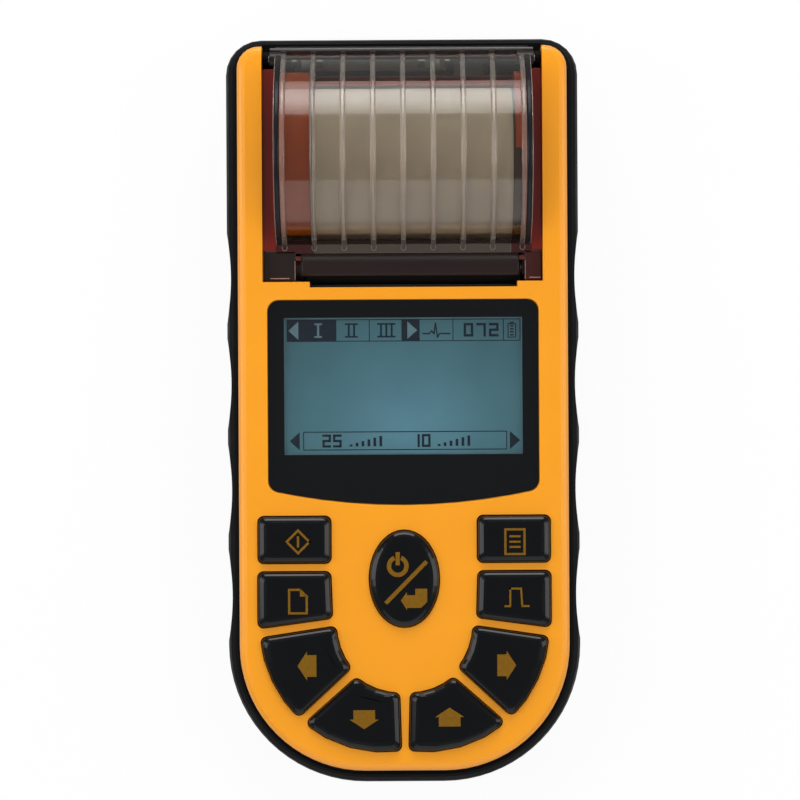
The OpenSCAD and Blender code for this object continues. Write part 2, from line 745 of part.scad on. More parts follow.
module port_board() {
    color("#1f6b3a") difference() {
        block(-30, port_board_y, port_board_z0, 32, port_board_y + port_board_t, port_board_z1);
        for (x = [-28, 30]) bar_y(0, far, x, port_board_z1 - 2, 1);
    }
}

module usb_socket() {
    color("silver") difference() {
        block(usb_x - 3.9, port_board_y + port_board_t, socket_z - 3.8,
              usb_x + 3.9, y_top - 0.6, socket_z + 0.4);
        block(usb_x - 3.4, y_top - 6, socket_z - 3.4, usb_x + 3.4, far, socket_z - 2.9);
        block(usb_x - 3.4, y_top - 6, socket_z - 3.4, usb_x - 2.9, far, socket_z);
        block(usb_x + 2.9, y_top - 6, socket_z - 3.4, usb_x + 3.4, far, socket_z);
        block(usb_x - 3.4, y_top - 6, socket_z - 1.3, usb_x + 3.4, far, socket_z);
    }
}

module power_jack() {
    color("#18191b") {
        difference() {
            union() {
                block(jack_x - 4.4, port_board_y + port_board_t, socket_z - 6.1,
                      jack_x + 4.4, y_top - 5, socket_z + 4.4);
                bar_y(y_top - 5 - touch, y_top - 0.6, jack_x, socket_z - 1, jack_r + 1.1);
            }
            bar_y(y_top - 8, far, jack_x, socket_z - 1, jack_r);
        }
        bar_y(y_top - 8 - touch, y_top - 1.6, jack_x, socket_z - 1, 1);
    }
}

// ---- Paper bay ------------------------------------------------------------------------------

// Side of the tray beside the roll, drawn in Y and Z and made smaller by inset. Below the roll's level it
// is cut off slantwise, clear of the sockets' board.
function tray_side(inset) =
    let (front = y_top - 50 + inset, back = y_top - 9.5 - inset)
    [[front, tray_z - inset], [back - 14.6, tray_z - inset], [back - 2.6, tray_z + 11],
     [back - 2.6, tray_z + 15], [back, tray_z + 17], [back, flange_z - 0.1], [back - 4, dome_top],
     [front, dome_top]];

// Open tray that the roll is dropped into, with a cheek on the left that keeps the roll to the right
module paper_tray() {
    cheek = 1.5;
    arch_r = dome_r - door_t - rib_h - 0.5;
    bed_r = roll_r + roll_gap;
    color("#ee8f22") {
        // cradle under and behind the roll
        slab(bay_x0 - cheek + touch, bay_x1 + cheek - touch) polygon(concat(
            arc([roll_y, roll_z], bed_r + tray_t, 246, 360, 20),
            [[roll_y + bed_r + tray_t, flange_z - 0.1], [roll_y + bed_r, flange_z - 0.1]],
            arc([roll_y, roll_z], bed_r, 360, 246, 20)));
        difference() {
            intersection() {
                union() {
                    slab(-tray_x, bay_x0) polygon(tray_side(0));
                    slab(bay_x1, tray_x) polygon(tray_side(0));
                }
                bar_x(-far, far, dome_y, dome_z, arch_r);
            }
            // hollow left cheek, open below
            intersection() {
                slab(cheek - tray_x, bay_x0 - cheek) polygon(tray_side(cheek));
                bar_x(-far, far, dome_y, dome_z, arch_r - cheek);
            }
        }
        // ledges that the door's side flanges rest on
        difference() {
            for (s = [0, 1]) mirror([s, 0, 0])
                block(tray_x - touch, y_top - 51, flange_z - 1.6, door_x, y_top - 13, flange_z - 0.1);
            both_sides(tray_screws_at) bar_z(0, far, 0, 0, screw_r);
            both_sides(tray_screws_at) bar_z(flange_z - 1.1, far, 0, 0, small_head_r + 0.1);
        }
    }
}

module tray_screws() {
    color("silver") both_sides(tray_screws_at) translate([0, 0, flange_z - 1.1]) {
        cylinder(r = small_head_r, h = 0.9);
        translate([0, 0, -6]) cylinder(r = small_screw_r, h = 6 + touch);
    }
}

module paper_roll() {
    color("#f2efe6") difference() {
        bar_x(paper_x - paper_w / 2, paper_x + paper_w / 2, roll_y, roll_z, roll_r);
        bar_x(-far, far, roll_y, roll_z, core_r + core_wall);
    }
}

module paper_core() {
    color("#b89b6c") difference() {
        bar_x(paper_x - paper_w / 2, paper_x + paper_w / 2, roll_y, roll_z, core_r + core_wall);
        bar_x(-far, far, roll_y, roll_z, core_r);
        // notch that the winder leaves in the core
        block(-far, roll_y - 0.6, roll_z + core_r - touch,
              paper_x - paper_w / 2 + 3, roll_y + 0.6, roll_z + core_r + 0.8);
    }
}

// The paper's way from under the roll, round the platen and up to the print line
module paper_web() {
    r1 = roll_r + 0.06;
    r2 = platen_r + 0.1;
    centres = [platen_y - roll_y, platen_z - roll_z];
    turn = asin((r1 - r2) / norm(centres));
    leave = atan2(centres.y, centres.x) - turn + 90;
    start = leave + 6;
    color("#f4f2ea") slab(paper_x - paper_w / 2, paper_x + paper_w / 2) polygon(concat(
        arc([roll_y, roll_z], r1 + web_t, start, leave, 3),
        arc([platen_y, platen_z], r2 + web_t, leave, 180, 12),
        arc([platen_y, platen_z], r2, 180, leave, 12),
        arc([roll_y, roll_z], r1, leave, start, 3)));
}

// ---- Paper door -----------------------------------------------------------------------------

// Cylinder shell over the paper roll, from radius r0 to r1, above level z
module dome_shell(x0, x1, r0, r1, z) intersection() {
    difference() {
        bar_x(x0, x1, dome_y, dome_z, r1);
        bar_x(x0 - 1, x1 + 1, dome_y, dome_z, r0);
    }
    block(-far, dome_y - dome_half, z, far, dome_y + dome_half, far);
}

module door_hinge_lugs() {
    for (s = [0, 1]) mirror([s, 0, 0])
        bar_x(dome_x - end_wall - 2, door_x - hinge_post_w, hinge_y, hinge_z, hinge_pin_r + 1.4);
}

module paper_door() {
    under = ledge_z - ledge_t;
    front_y = dome_y - dome_half;
    block_y0 = opening_y + 0.4;
    lip_a = 90 + asin(lip_front / (platen_r + lip_gap + lip_t));
    color("#6b4a3a", 0.55) difference() {
        union() {
            dome_shell(-dome_x, dome_x, dome_r - door_t, dome_r, under);
            // end walls of the dome
            for (s = [0, 1]) mirror([s, 0, 0]) intersection() {
                bar_x(dome_x - end_wall, dome_x, dome_y, dome_z, dome_r - touch);
                block(0, front_y, flange_z, far, hinge_y + 1.6, far);
            }
            // guide ribs, and their feet under the ledge
            for (i = [-4:4]) translate([i * rib_pitch - rib_w / 2, 0, 0]) {
                dome_shell(0, rib_w, dome_r - door_t - rib_h, dome_r - door_t + touch, under);
                block(0, platen_y + 5.8, under - rib_h, rib_w, front_y + 1.5, under + touch);
            }
            // side flanges, front ledge and corner blocks
            for (s = [0, 1]) mirror([s, 0, 0])
                block(dome_x - touch, block_y0 + 4, flange_z, door_x, hinge_y - 2.6, flange_z + flange_t);
            block(-door_x, platen_y + 2.6, under, door_x, front_y + 2.2, ledge_z);
            block(-door_x, block_y0, flange_z, lip_x0, platen_y + 4, ledge_z);
            block(lip_x1, block_y0, flange_z, door_x, platen_y + 4, ledge_z);
            // rounded lip over the platen
            slab(lip_x0 - touch, lip_x1 + touch) polygon(concat(
                arc([platen_y, platen_z], platen_r + lip_gap + lip_t, 48, lip_a, 16),
                arc([platen_y, platen_z], platen_r + lip_gap, lip_a, 48, 16)));
            // arms that carry the platen's bushes
            for (x = [arm_x0, arm_x1 - arm_t]) {
                bar_x(x, x + arm_t, platen_y, platen_z, bush_r + 1);
                block(x, platen_y - 2, platen_z, x + arm_t, platen_y + bush_r + 1, ledge_z - touch);
            }
            // rear lip, chamfered towards the printer end
            slab(-dome_x, dome_x) polygon([
                [hinge_y + 0.4, flange_z], [door_back_y, flange_z], [door_back_y, flange_z + 0.75],
                [door_back_y - 1, flange_z + 1.3], [hinge_y + 0.4, flange_z + 1.3]
            ]);
            door_hinge_lugs();
        }
        bar_x(-far, far, hinge_y, hinge_z, hinge_pin_r + running);
        bar_x(-far, far, platen_y, platen_z, bush_r + 0.02);
        // room for the platen gear and for the rubber under the lip
        bar_x(gear_x - 0.5, gear_x + gear_w + 0.5, platen_y, platen_z, gear_tip(platen_teeth) + 0.4);
        bar_x(arm_x0 + arm_t, arm_x1 - arm_t, platen_y, platen_z, platen_r + lip_gap - touch);
    }
}

module hinge_pins() {
    color("silver") for (s = [0, 1]) mirror([s, 0, 0])
        bar_x(dome_x - end_wall - 1.6, door_x + 0.1, hinge_y, hinge_z, hinge_pin_r);
}

// ---- Printer --------------------------------------------------------------------------------

module platen_bushes() {
    ends = [[frame_x0 + 0.1, arm_x0 + arm_t], [arm_x1 - arm_t, frame_x1 - 0.1]];
    color("#2b2c2e") for (x = ends) difference() {
        bar_x(x[0], x[1], platen_y, platen_z, bush_r);
        bar_x(-far, far, platen_y, platen_z, platen_shaft_r + running);
    }
}

module platen_rubber() {
    color("#1a1a1b") difference() {
        bar_x(arm_x0 + arm_t + 0.3, arm_x1 - arm_t - 0.3, platen_y, platen_z, platen_r);
        bar_x(-far, far, platen_y, platen_z, platen_shaft_r);
    }
}

module platen_shaft() {
    color("silver") bar_x(gear_x - 0.3, frame_x1 + 0.4, platen_y, platen_z, platen_shaft_r);
}

function gear_tip(n) = (n / 2 + 0.8) * gear_module;

function involute(a) = tan(a) * 180 / PI - a;

// One flank point of a tooth at radius r: how far it stands from the tooth's middle line, in degrees
function flank(n, r) =
    let (pitch_r = n * gear_module / 2, base_r = pitch_r * cos(pressure_angle),
         backlash = 0.07 * gear_module / pitch_r * 180 / PI)
    90 / n - backlash + involute(pressure_angle) - involute(r > base_r ? acos(base_r / r) : 0);

function tooth(n, at) =
    let (pitch_r = n * gear_module / 2, root = pitch_r - 1.15 * gear_module, tip = gear_tip(n),
         base_r = max(root + 0.02, pitch_r * cos(pressure_angle)),
         radii = [root, base_r, (base_r * 2 + tip) / 3, (base_r + tip * 2) / 3, tip],
         side = [for (r = radii) [r, flank(n, r)]])
    concat([for (p = side) p[0] * [cos(at - p[1]), sin(at - p[1])]],
           [for (i = [len(side) - 1:-1:0]) side[i][0] * [cos(at + side[i][1]), sin(at + side[i][1])]]);

// Spur gear on the X axis at (y, z), with one tooth pointing along angle phase in the Y-Z plane
module gear(n, y, z, phase, bore) difference() {
    slab(gear_x, gear_x + gear_w) translate([y, z])
        polygon([for (i = [0:n - 1]) each tooth(n, phase + 360 * i / n)]);
    bar_x(-far, far, y, z, bore);
}

// The platen gear has a tooth on the line to the idler, and the others are set to mesh with it
platen_phase = idler_dir;
idler_phase = idler_dir + 180 + 180 / idler_teeth;
idler_tooth_off = (pinion_dir - idler_phase) / (360 / idler_teeth);
pinion_phase = pinion_dir + 180 + 180 / pinion_teeth
    + (idler_tooth_off - round(idler_tooth_off)) * 360 / pinion_teeth;

module platen_gear() {
    color("#2b2c2e") gear(platen_teeth, platen_y, platen_z, platen_phase, platen_shaft_r);
}

module idler_gear() {
    color("#2b2c2e") gear(idler_teeth, idler_y, idler_z, idler_phase, idler_axle_r + running);
}

module motor_pinion() {
    color("#c8a24a") gear(pinion_teeth, motor_y, motor_z, pinion_phase, motor_shaft_r);
}

module idler_axle() {
    color("silver") {
        bar_x(gear_x - 0.2, frame_x0 + frame_t, idler_y, idler_z, idler_axle_r);
        bar_x(gear_x - 0.8, gear_x - 0.15, idler_y, idler_z, 1.8);
    }
}

module stepper_motor() {
    color("#8d9094") difference() {
        union() {
            bar_x(frame_x0 + frame_t, frame_x0 + frame_t + motor_len, motor_y, motor_z, motor_r);
            slab(frame_x0 + frame_t, frame_x0 + frame_t + 0.8) polygon(rounded(
                box2(motor_y - motor_r - 2.2, motor_z - 2, motor_y + motor_r + 2.2, motor_z + 2),
                [1.8, 1.8, 1.8, 1.8]));
        }
        bar_x(-far, far, motor_y, motor_z, motor_shaft_r + running);
    }
}

module motor_shaft() {
    color("silver") bar_x(gear_x - 0.3, frame_x0 + frame_t + motor_len + 1, motor_y, motor_z, motor_shaft_r);
}

module printer_frame() {
    notch = bush_r + 0.3;
    guide_y0 = head_y - head_t - sink_t;
    front = guide_y0 - 0.8;
    back = frame_base_y[1];
    top = platen_z + 3.1;
    foot = floor_z + 0.5;
    color("#232527") {
        for (x = [frame_x0, frame_x1 - frame_t]) {
            difference() {
                slab(x, x + frame_t)
                    polygon([[front, foot], [back, foot], [back, top - 4], [back - 3, top], [front, top]]);
                bar_x(-far, far, platen_y, platen_z, notch);
                block(-far, platen_y - notch, platen_z, far, platen_y + notch, far);
                if (x < 0) {
                    bar_x(-far, far, motor_y, motor_z, motor_shaft_r + 0.8);
                    bar_x(-far, far, idler_y, idler_z, idler_axle_r + touch);
                }
            }
            block(x, guide_y0, top - touch, x + frame_t, head_y - 0.1, top + 1.2);
        }
        // cross plate and screwed feet
        difference() {
            union() {
                block(frame_x0 + touch, back - frame_t, foot, frame_x1 - touch, back, floor_z + 10);
                block(frame_x0 + touch, frame_base_y[0], foot, frame_x1 - touch, back, foot + 1);
            }
            for (x = frame_screws_x) bar_z(0, far, x, frame_screw_y, screw_r);
        }
        // paper guide over the print head
        block(frame_x0 + touch, guide_y0, head_top + 0.2, frame_x1 - touch, head_y - 0.1, top + 1.2);
    }
}

module frame_screws() {
    color("silver") for (x = frame_screws_x) translate([x, frame_screw_y, floor_z + 1.5]) {
        cylinder(r = small_head_r, h = 1);
        translate([0, 0, 0.5 - wall]) cylinder(r = small_screw_r, h = wall);
    }
}

module thermal_head() {
    color("#d8d3c4") difference() {
        block(paper_x - head_w / 2, head_y - head_t, head_z0, paper_x + head_w / 2, head_y, head_top);
        // step behind the heater line
        block(-far, head_y - 0.25, head_z0 - 1, far, head_y + 1, platen_z - 2.2);
    }
}

module head_heatsink() {
    y0 = head_y - head_t - sink_t;
    color("#a9adb0") difference() {
        block(frame_x0 + frame_t + 0.1, y0, sink_z0, frame_x1 - frame_t - 0.1, head_y - head_t, head_top);
        for (i = [-8:8]) translate([paper_x + i * fin_pitch, 0, 0])
            block(-0.6, y0 - 1, sink_z0 - 1, 0.6, y0 + 1.2, head_top - 2.5);
    }
}

// Steel leaf that presses the head towards the platen
module head_spring() {
    y0 = head_y - head_t - sink_t;
    color("silver") slab(paper_x - 8, paper_x + 8) polygon([
        [y0 - 0.01, sink_z0 + 6], [y0 - 0.4, sink_z0 + 6], [y0 - 0.4, sink_z0 + 1],
        [y0 - 1.5, sink_z0 - 0.8], [y0 - 1.5, floor_z + 0.6], [y0 - 0.4, floor_z + 0.02],
        [y0 + 1.6, floor_z + 0.02], [y0 + 1.6, floor_z + 0.4], [y0 - 0.3, floor_z + 0.4],
        [y0 - 1.1, floor_z + 0.9], [y0 - 1.1, sink_z0 - 1], [y0 - 0.01, sink_z0 + 0.8]
    ]);
}

// Flat cable from the print head to the main board
module head_ribbon() {
    y0 = head_y - head_t;
    y1 = board_y1 - 4;
    low = sink_z0 - 4.2;
    color("#d9d4c6") slab(paper_x + 11, paper_x + 24) polygon([
        [y0 + 0.6, head_z0 - 0.1], [y0 + 0.6, low + 1.6], [y0 - 1, low], [y1 - 1, low], [y1 - 2, low + 1],
        [y1 - 2, board_z], [y1 - 1.8, board_z], [y1 - 1.8, low + 1.1], [y1 - 0.9, low + 0.2],
        [y0 - 1.1, low + 0.2], [y0 + 0.4, low + 1.7], [y0 + 0.4, head_z0 - 0.1]
    ]);
}

// ---- The assembly ---------------------------------------------------------------------------

rear_cover();
front_cover();
battery_cover();
rubber_feet();
case_screws();
battery_cover_screws();
display_lens();
lens_mask();
lcd_panel();
lcd_bezel();
lcd_backlight();
lcd_board();
main_board();
board_chips();
shield_can();
buzzer();
board_screws();
keypad_mat();
battery_cells();
battery_contacts();
port_board();
lead_socket_shell();
lead_socket_insert();
lead_socket_posts();
usb_socket();
power_jack();
paper_tray();
tray_screws();
printer_frame();
frame_screws();
thermal_head();
head_heatsink();
head_spring();
head_ribbon();
stepper_motor();
idler_axle();
paper_web();
hinge_pins();
paper_door();
platen_bushes();
platen_rubber();
platen_shaft();
platen_gear();
idler_gear();
motor_shaft();
motor_pinion();
paper_roll();
paper_core();
key_start();
key_mode();
key_left();
key_down();
key_up();
key_right();
key_calibrate();
key_report();
key_power();
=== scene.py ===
"""Handheld ECG recorder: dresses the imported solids. Sizes are in millimetres where no comment says metres."""

import json
import math

import bmesh
import bpy
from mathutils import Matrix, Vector
from mathutils.bvhtree import BVHTree
from mathutils.geometry import tessellate_polygon


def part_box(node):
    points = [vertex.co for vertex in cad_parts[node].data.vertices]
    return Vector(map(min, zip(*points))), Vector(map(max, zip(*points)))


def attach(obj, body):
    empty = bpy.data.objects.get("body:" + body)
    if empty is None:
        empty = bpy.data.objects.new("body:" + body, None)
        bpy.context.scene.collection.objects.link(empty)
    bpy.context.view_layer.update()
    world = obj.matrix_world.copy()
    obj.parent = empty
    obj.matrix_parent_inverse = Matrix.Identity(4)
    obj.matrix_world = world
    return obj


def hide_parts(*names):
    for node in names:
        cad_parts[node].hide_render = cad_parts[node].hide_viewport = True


MM = 0.001

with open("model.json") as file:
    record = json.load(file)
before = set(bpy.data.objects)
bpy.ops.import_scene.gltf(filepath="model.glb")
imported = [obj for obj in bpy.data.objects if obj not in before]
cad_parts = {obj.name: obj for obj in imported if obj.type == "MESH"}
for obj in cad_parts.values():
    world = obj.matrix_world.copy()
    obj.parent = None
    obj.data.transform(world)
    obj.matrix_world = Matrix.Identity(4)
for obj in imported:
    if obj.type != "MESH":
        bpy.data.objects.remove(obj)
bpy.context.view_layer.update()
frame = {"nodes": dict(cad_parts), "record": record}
nodes = frame["nodes"]


def box_mm(node):
    """Lowest and highest corner of a CAD node in millimetres."""
    low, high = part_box(node)
    return low / MM, high / MM


CASE_HIGH = box_mm("rear_cover")[1]
DOOR_HIGH = box_mm("paper_door")[1]
PINS_LOW, PINS_HIGH = box_mm("hinge_pins")
LCD_LOW, LCD_HIGH = box_mm("lcd_panel")
ROLL_LOW, ROLL_HIGH = box_mm("paper_roll")
ROLL_MIDDLE = (ROLL_LOW + ROLL_HIGH) / 2
PLATEN_LOW, PLATEN_HIGH = box_mm("platen_rubber")


def add_object(name, data):
    """A new object in the scene, which holds this data."""
    obj = bpy.data.objects.new(name, data)
    bpy.context.scene.collection.objects.link(obj)
    return obj


# ---- Camera ---------------------------------------------------------------------------------

CAMERA_PLACE = Vector((-0.85, 2.7, 720.0))
CAMERA_FOCAL = 122.9
CAMERA_ROLL = -0.32     # degrees

camera = add_object("camera", bpy.data.cameras.new("camera"))
camera.location = CAMERA_PLACE * MM
camera.rotation_euler = (0, 0, math.radians(CAMERA_ROLL))
camera.data.lens = CAMERA_FOCAL
camera.data.sensor_width = 36
camera.data.clip_start = 0.01
bpy.context.scene.camera = camera
bpy.context.scene.view_settings.view_transform = "Standard"


# ---- Material helpers -----------------------------------------------------------------------


class Nodes:
    """A new node material: its tree, its Principled shader and short ways to add nodes."""

    def __init__(self, name):
        self.material = bpy.data.materials.new(name)
        self.material.use_nodes = True
        self.tree = self.material.node_tree
        self.shader = self.tree.nodes["Principled BSDF"]
        self.output = self.tree.nodes["Material Output"]
        self.place = self.add("ShaderNodeTexCoord").outputs["Object"]

    def add(self, kind, **settings):
        """A new node of this kind."""
        node = self.tree.nodes.new(kind)
        for name, value in settings.items():
            setattr(node, name, value)
        return node

    def link(self, a, b):
        self.tree.links.new(a, b)

    def scaled(self, scale, offset=(0, 0, 0)):
        """The object's place times scale, after moving it by offset."""
        moved = self.add("ShaderNodeVectorMath", operation="ADD")
        self.link(self.place, moved.inputs[0])
        moved.inputs[1].default_value = offset
        times = self.add("ShaderNodeVectorMath", operation="MULTIPLY")
        self.link(moved.outputs[0], times.inputs[0])
        times.inputs[1].default_value = scale
        return times.outputs[0]

    def noise(self, size, detail=2.0, stretch=(1, 1, 1)):
        """Noise whose features are about size millimetres across."""
        node = self.add("ShaderNodeTexNoise")
        node.inputs["Scale"].default_value = 1.0
        node.inputs["Detail"].default_value = detail
        self.link(self.scaled([1 / (size * MM * s) for s in stretch]), node.inputs["Vector"])
        return node.outputs["Fac"]

    def ramp(self, value, stops):
        """A colour for each value, blended between stops of (position, colour)."""
        node = self.add("ShaderNodeValToRGB")
        elements = node.color_ramp.elements
        while len(elements) < len(stops):
            elements.new(0.5)
        for element, (position, colour) in zip(elements, stops):
            element.position = position
            element.color = (*colour, 1)
        self.link(value, node.inputs["Fac"])
        return node.outputs["Color"]

    def spread(self, value, low, high):
        """value, about 0.3 to 0.7, mapped to low to high."""
        node = self.add("ShaderNodeMapRange")
        node.inputs["From Min"].default_value = 0.3
        node.inputs["From Max"].default_value = 0.7
        node.inputs["To Min"].default_value = low
        node.inputs["To Max"].default_value = high
        self.link(value, node.inputs["Value"])
        return node.outputs["Result"]

    def colour(self, value, colour, change):
        """Colours the surface round colour, lighter and darker by the share change."""
        dark = [c * (1 - change) for c in colour]
        light = [min(1, c * (1 + change)) for c in colour]
        self.link(self.ramp(value, [(0.3, dark), (0.7, light)]), self.shader.inputs["Base Color"])

    def rough(self, value, low, high):
        """Lets the roughness wander from low to high."""
        self.link(self.spread(value, low, high), self.shader.inputs["Roughness"])

    def bump(self, value, depth):
        """Raises the surface by value times depth millimetres."""
        node = self.add("ShaderNodeBump")
        node.inputs["Strength"].default_value = 1.0
        node.inputs["Distance"].default_value = depth * MM
        self.link(value, node.inputs["Height"])
        self.link(node.outputs["Normal"], self.shader.inputs["Normal"])

    def set(self, **values):
        """Sets the shader's own sockets, such as Coat_Weight=0.1."""
        for name, value in values.items():
            self.shader.inputs[name.replace("_", " ")].default_value = value


def moulded(name, colour, rough=(0.4, 0.5), change=0.04, grain=0.25, depth=0.004, coat=0.0,
            shine=0.5):
    """Moulded plastic: a fine spark-eroded grain, and clouds of slightly different shade and gloss."""
    n = Nodes(name)
    clouds = n.noise(18, 3)
    n.colour(clouds, colour, change)
    n.rough(n.noise(6, 4), *rough)
    n.bump(n.noise(grain, 2), depth)
    n.set(Coat_Weight=coat, Coat_Roughness=0.08, Specular_IOR_Level=shine)
    return n.material


def metal(name, colour, rough=(0.22, 0.36), stretch=(1, 8, 1), depth=0.002):
    """Metal with drawn or turned lines along one direction."""
    n = Nodes(name)
    lines = n.noise(0.25, 3, stretch)
    n.colour(n.noise(5, 3), colour, 0.08)
    n.rough(lines, *rough)
    n.bump(lines, depth)
    n.set(Metallic=1.0)
    return n.material


def rubber(name, colour, grain=0.4, depth=0.01):
    """Dull rubber with a coarse skin."""
    n = Nodes(name)
    n.colour(n.noise(3, 4), colour, 0.15)
    n.rough(n.noise(1.5, 3), 0.62, 0.8)
    n.bump(n.noise(grain, 3), depth)
    n.set(Specular_IOR_Level=0.2)
    return n.material


def clear(name, tint, shadow, rough=0.03, share=1.0, shine=0.5):
    """Tinted clear plastic with fine flow lines.

    share is how much of the light goes through. shadow is the colour of the lamps' light behind it.
    """
    n = Nodes(name)
    n.colour(n.noise(14, 2), tint, 0.04)
    n.bump(n.noise(9, 1, (1, 3, 1)), 0.01)
    n.set(Transmission_Weight=share, Roughness=rough, IOR=1.46, Specular_IOR_Level=shine)
    path = n.add("ShaderNodeLightPath")
    through = n.add("ShaderNodeBsdfTransparent")
    through.inputs["Color"].default_value = (*shadow, 1)
    mix = n.add("ShaderNodeMixShader")
    n.link(path.outputs["Is Shadow Ray"], mix.inputs["Fac"])
    n.link(n.shader.outputs["BSDF"], mix.inputs[1])
    n.link(through.outputs["BSDF"], mix.inputs[2])
    n.link(mix.outputs["Shader"], n.output.inputs["Surface"])
    return n.material


def circuit_board(name):
    """Green solder mask with slightly raised tracks."""
    n = Nodes(name)
    tracks = n.add("ShaderNodeTexBrick")
    tracks.offset = 0.37
    tracks.inputs["Scale"].default_value = 1.0
    tracks.inputs["Mortar Size"].default_value = 0.06
    tracks.inputs["Color1"].default_value = (0.012, 0.13, 0.045, 1)
    tracks.inputs["Color2"].default_value = (0.016, 0.16, 0.055, 1)
    tracks.inputs["Mortar"].default_value = (0.05, 0.27, 0.1, 1)
    n.link(n.scaled([1 / (3 * MM)] * 3), tracks.inputs["Vector"])
    n.link(tracks.outputs["Color"], n.shader.inputs["Base Color"])
    n.rough(n.noise(4, 3), 0.25, 0.4)
    n.bump(tracks.outputs["Fac"], 0.03)
    return n.material


def wound_paper(name, colour, pitch):
    """Paper with a fine fibre, whose ends show the turns it is wound in, pitch millimetres apart."""
    n = Nodes(name)
    split = n.add("ShaderNodeSeparateXYZ")
    n.link(n.scaled((1, 1, 1), (0, -ROLL_MIDDLE.y * MM, -ROLL_MIDDLE.z * MM)), split.inputs[0])
    flat = n.add("ShaderNodeCombineXYZ")
    n.link(split.outputs["Y"], flat.inputs["Y"])
    n.link(split.outputs["Z"], flat.inputs["Z"])
    radius = n.add("ShaderNodeVectorMath", operation="LENGTH")
    n.link(flat.outputs[0], radius.inputs[0])
    turns = n.add("ShaderNodeMath", operation="MULTIPLY")
    turns.inputs[1].default_value = 2 * math.pi / (pitch * MM)
    n.link(radius.outputs["Value"], turns.inputs[0])
    wave = n.add("ShaderNodeMath", operation="SINE")
    n.link(turns.outputs[0], wave.inputs[0])
    edge = n.add("ShaderNodeMath", operation="MULTIPLY_ADD")
    edge.inputs[1].default_value = 0.2
    edge.inputs[2].default_value = 0.5
    n.link(wave.outputs[0], edge.inputs[0])
    n.colour(edge.outputs[0], colour, 0.08)
    n.rough(n.noise(1.2, 4), 0.55, 0.7)
    n.bump(n.noise(0.2, 3), 0.006)
    return n.material


def screen_glass(name):
    """The lit screen: blue-green, a little paler low down in the middle, with a fine dot grid."""
    n = Nodes(name)
    middle = (LCD_LOW + LCD_HIGH) / 2
    glow = n.add("ShaderNodeTexGradient", gradient_type="SPHERICAL")
    reach = (46 * MM, 36 * MM, 1.0)
    offset = ((-middle.x - 1) * MM, (-middle.y + 11) * MM, 0)
    n.link(n.scaled([1 / r for r in reach], offset), glow.inputs["Vector"])
    edge, halfway, centre = (0.028, 0.074, 0.086), (0.044, 0.114, 0.132), (0.082, 0.184, 0.226)
    lit = n.ramp(glow.outputs["Fac"], [(0.0, edge), (0.4, halfway), (1.0, centre)])
    n.link(lit, n.shader.inputs["Base Color"])
    n.link(lit, n.shader.inputs["Emission Color"])
    n.set(Emission_Strength=0.55)
    dots = n.add("ShaderNodeTexChecker")
    dots.inputs["Scale"].default_value = 1.0
    n.link(n.scaled([1 / (0.25 * MM)] * 3), dots.inputs["Vector"])
    n.bump(dots.outputs["Fac"], 0.002)
    n.rough(n.noise(5, 2), 0.3, 0.4)
    return n.material


def printed(name, colour, rough=0.35, shine=0.5):
    """A thin coat of ink with an uneven edge of gloss."""
    n = Nodes(name)
    n.colour(n.noise(0.8, 3), colour, 0.1)
    n.rough(n.noise(0.4, 2), rough, rough + 0.12)
    n.bump(n.noise(0.12, 2), 0.002)
    n.set(Specular_IOR_Level=shine)
    return n.material


def striped_wrap(name, colour, band):
    """Battery wrap with a lighter band round one end."""
    n = Nodes(name)
    split = n.add("ShaderNodeSeparateXYZ")
    n.link(n.place, split.inputs[0])
    step = n.add("ShaderNodeMath", operation="GREATER_THAN")
    step.inputs[1].default_value = 0.0
    n.link(split.outputs["Y"], step.inputs[0])
    mix = n.ramp(step.outputs[0], [(0.0, colour), (1.0, band)])
    n.link(mix, n.shader.inputs["Base Color"])
    n.rough(n.noise(3, 3), 0.25, 0.4)
    n.bump(n.noise(2, 2), 0.02)
    return n.material


ORANGE = (0.9, 0.33, 0.006)
BLACK = (0.004, 0.004, 0.0046)
STEEL = (0.56, 0.56, 0.57)
ALONG_X = (8, 1, 1)     # stretch of metal lines that run along X
RIB_SHADOW = (0.6, 0.52, 0.46)
FAINT_SHADOW = (1.0, 0.8, 0.65)
DEEP_SHADOW = (0.4, 0.3, 0.28)
RED_SHADOW = (0.5, 0.32, 0.28)

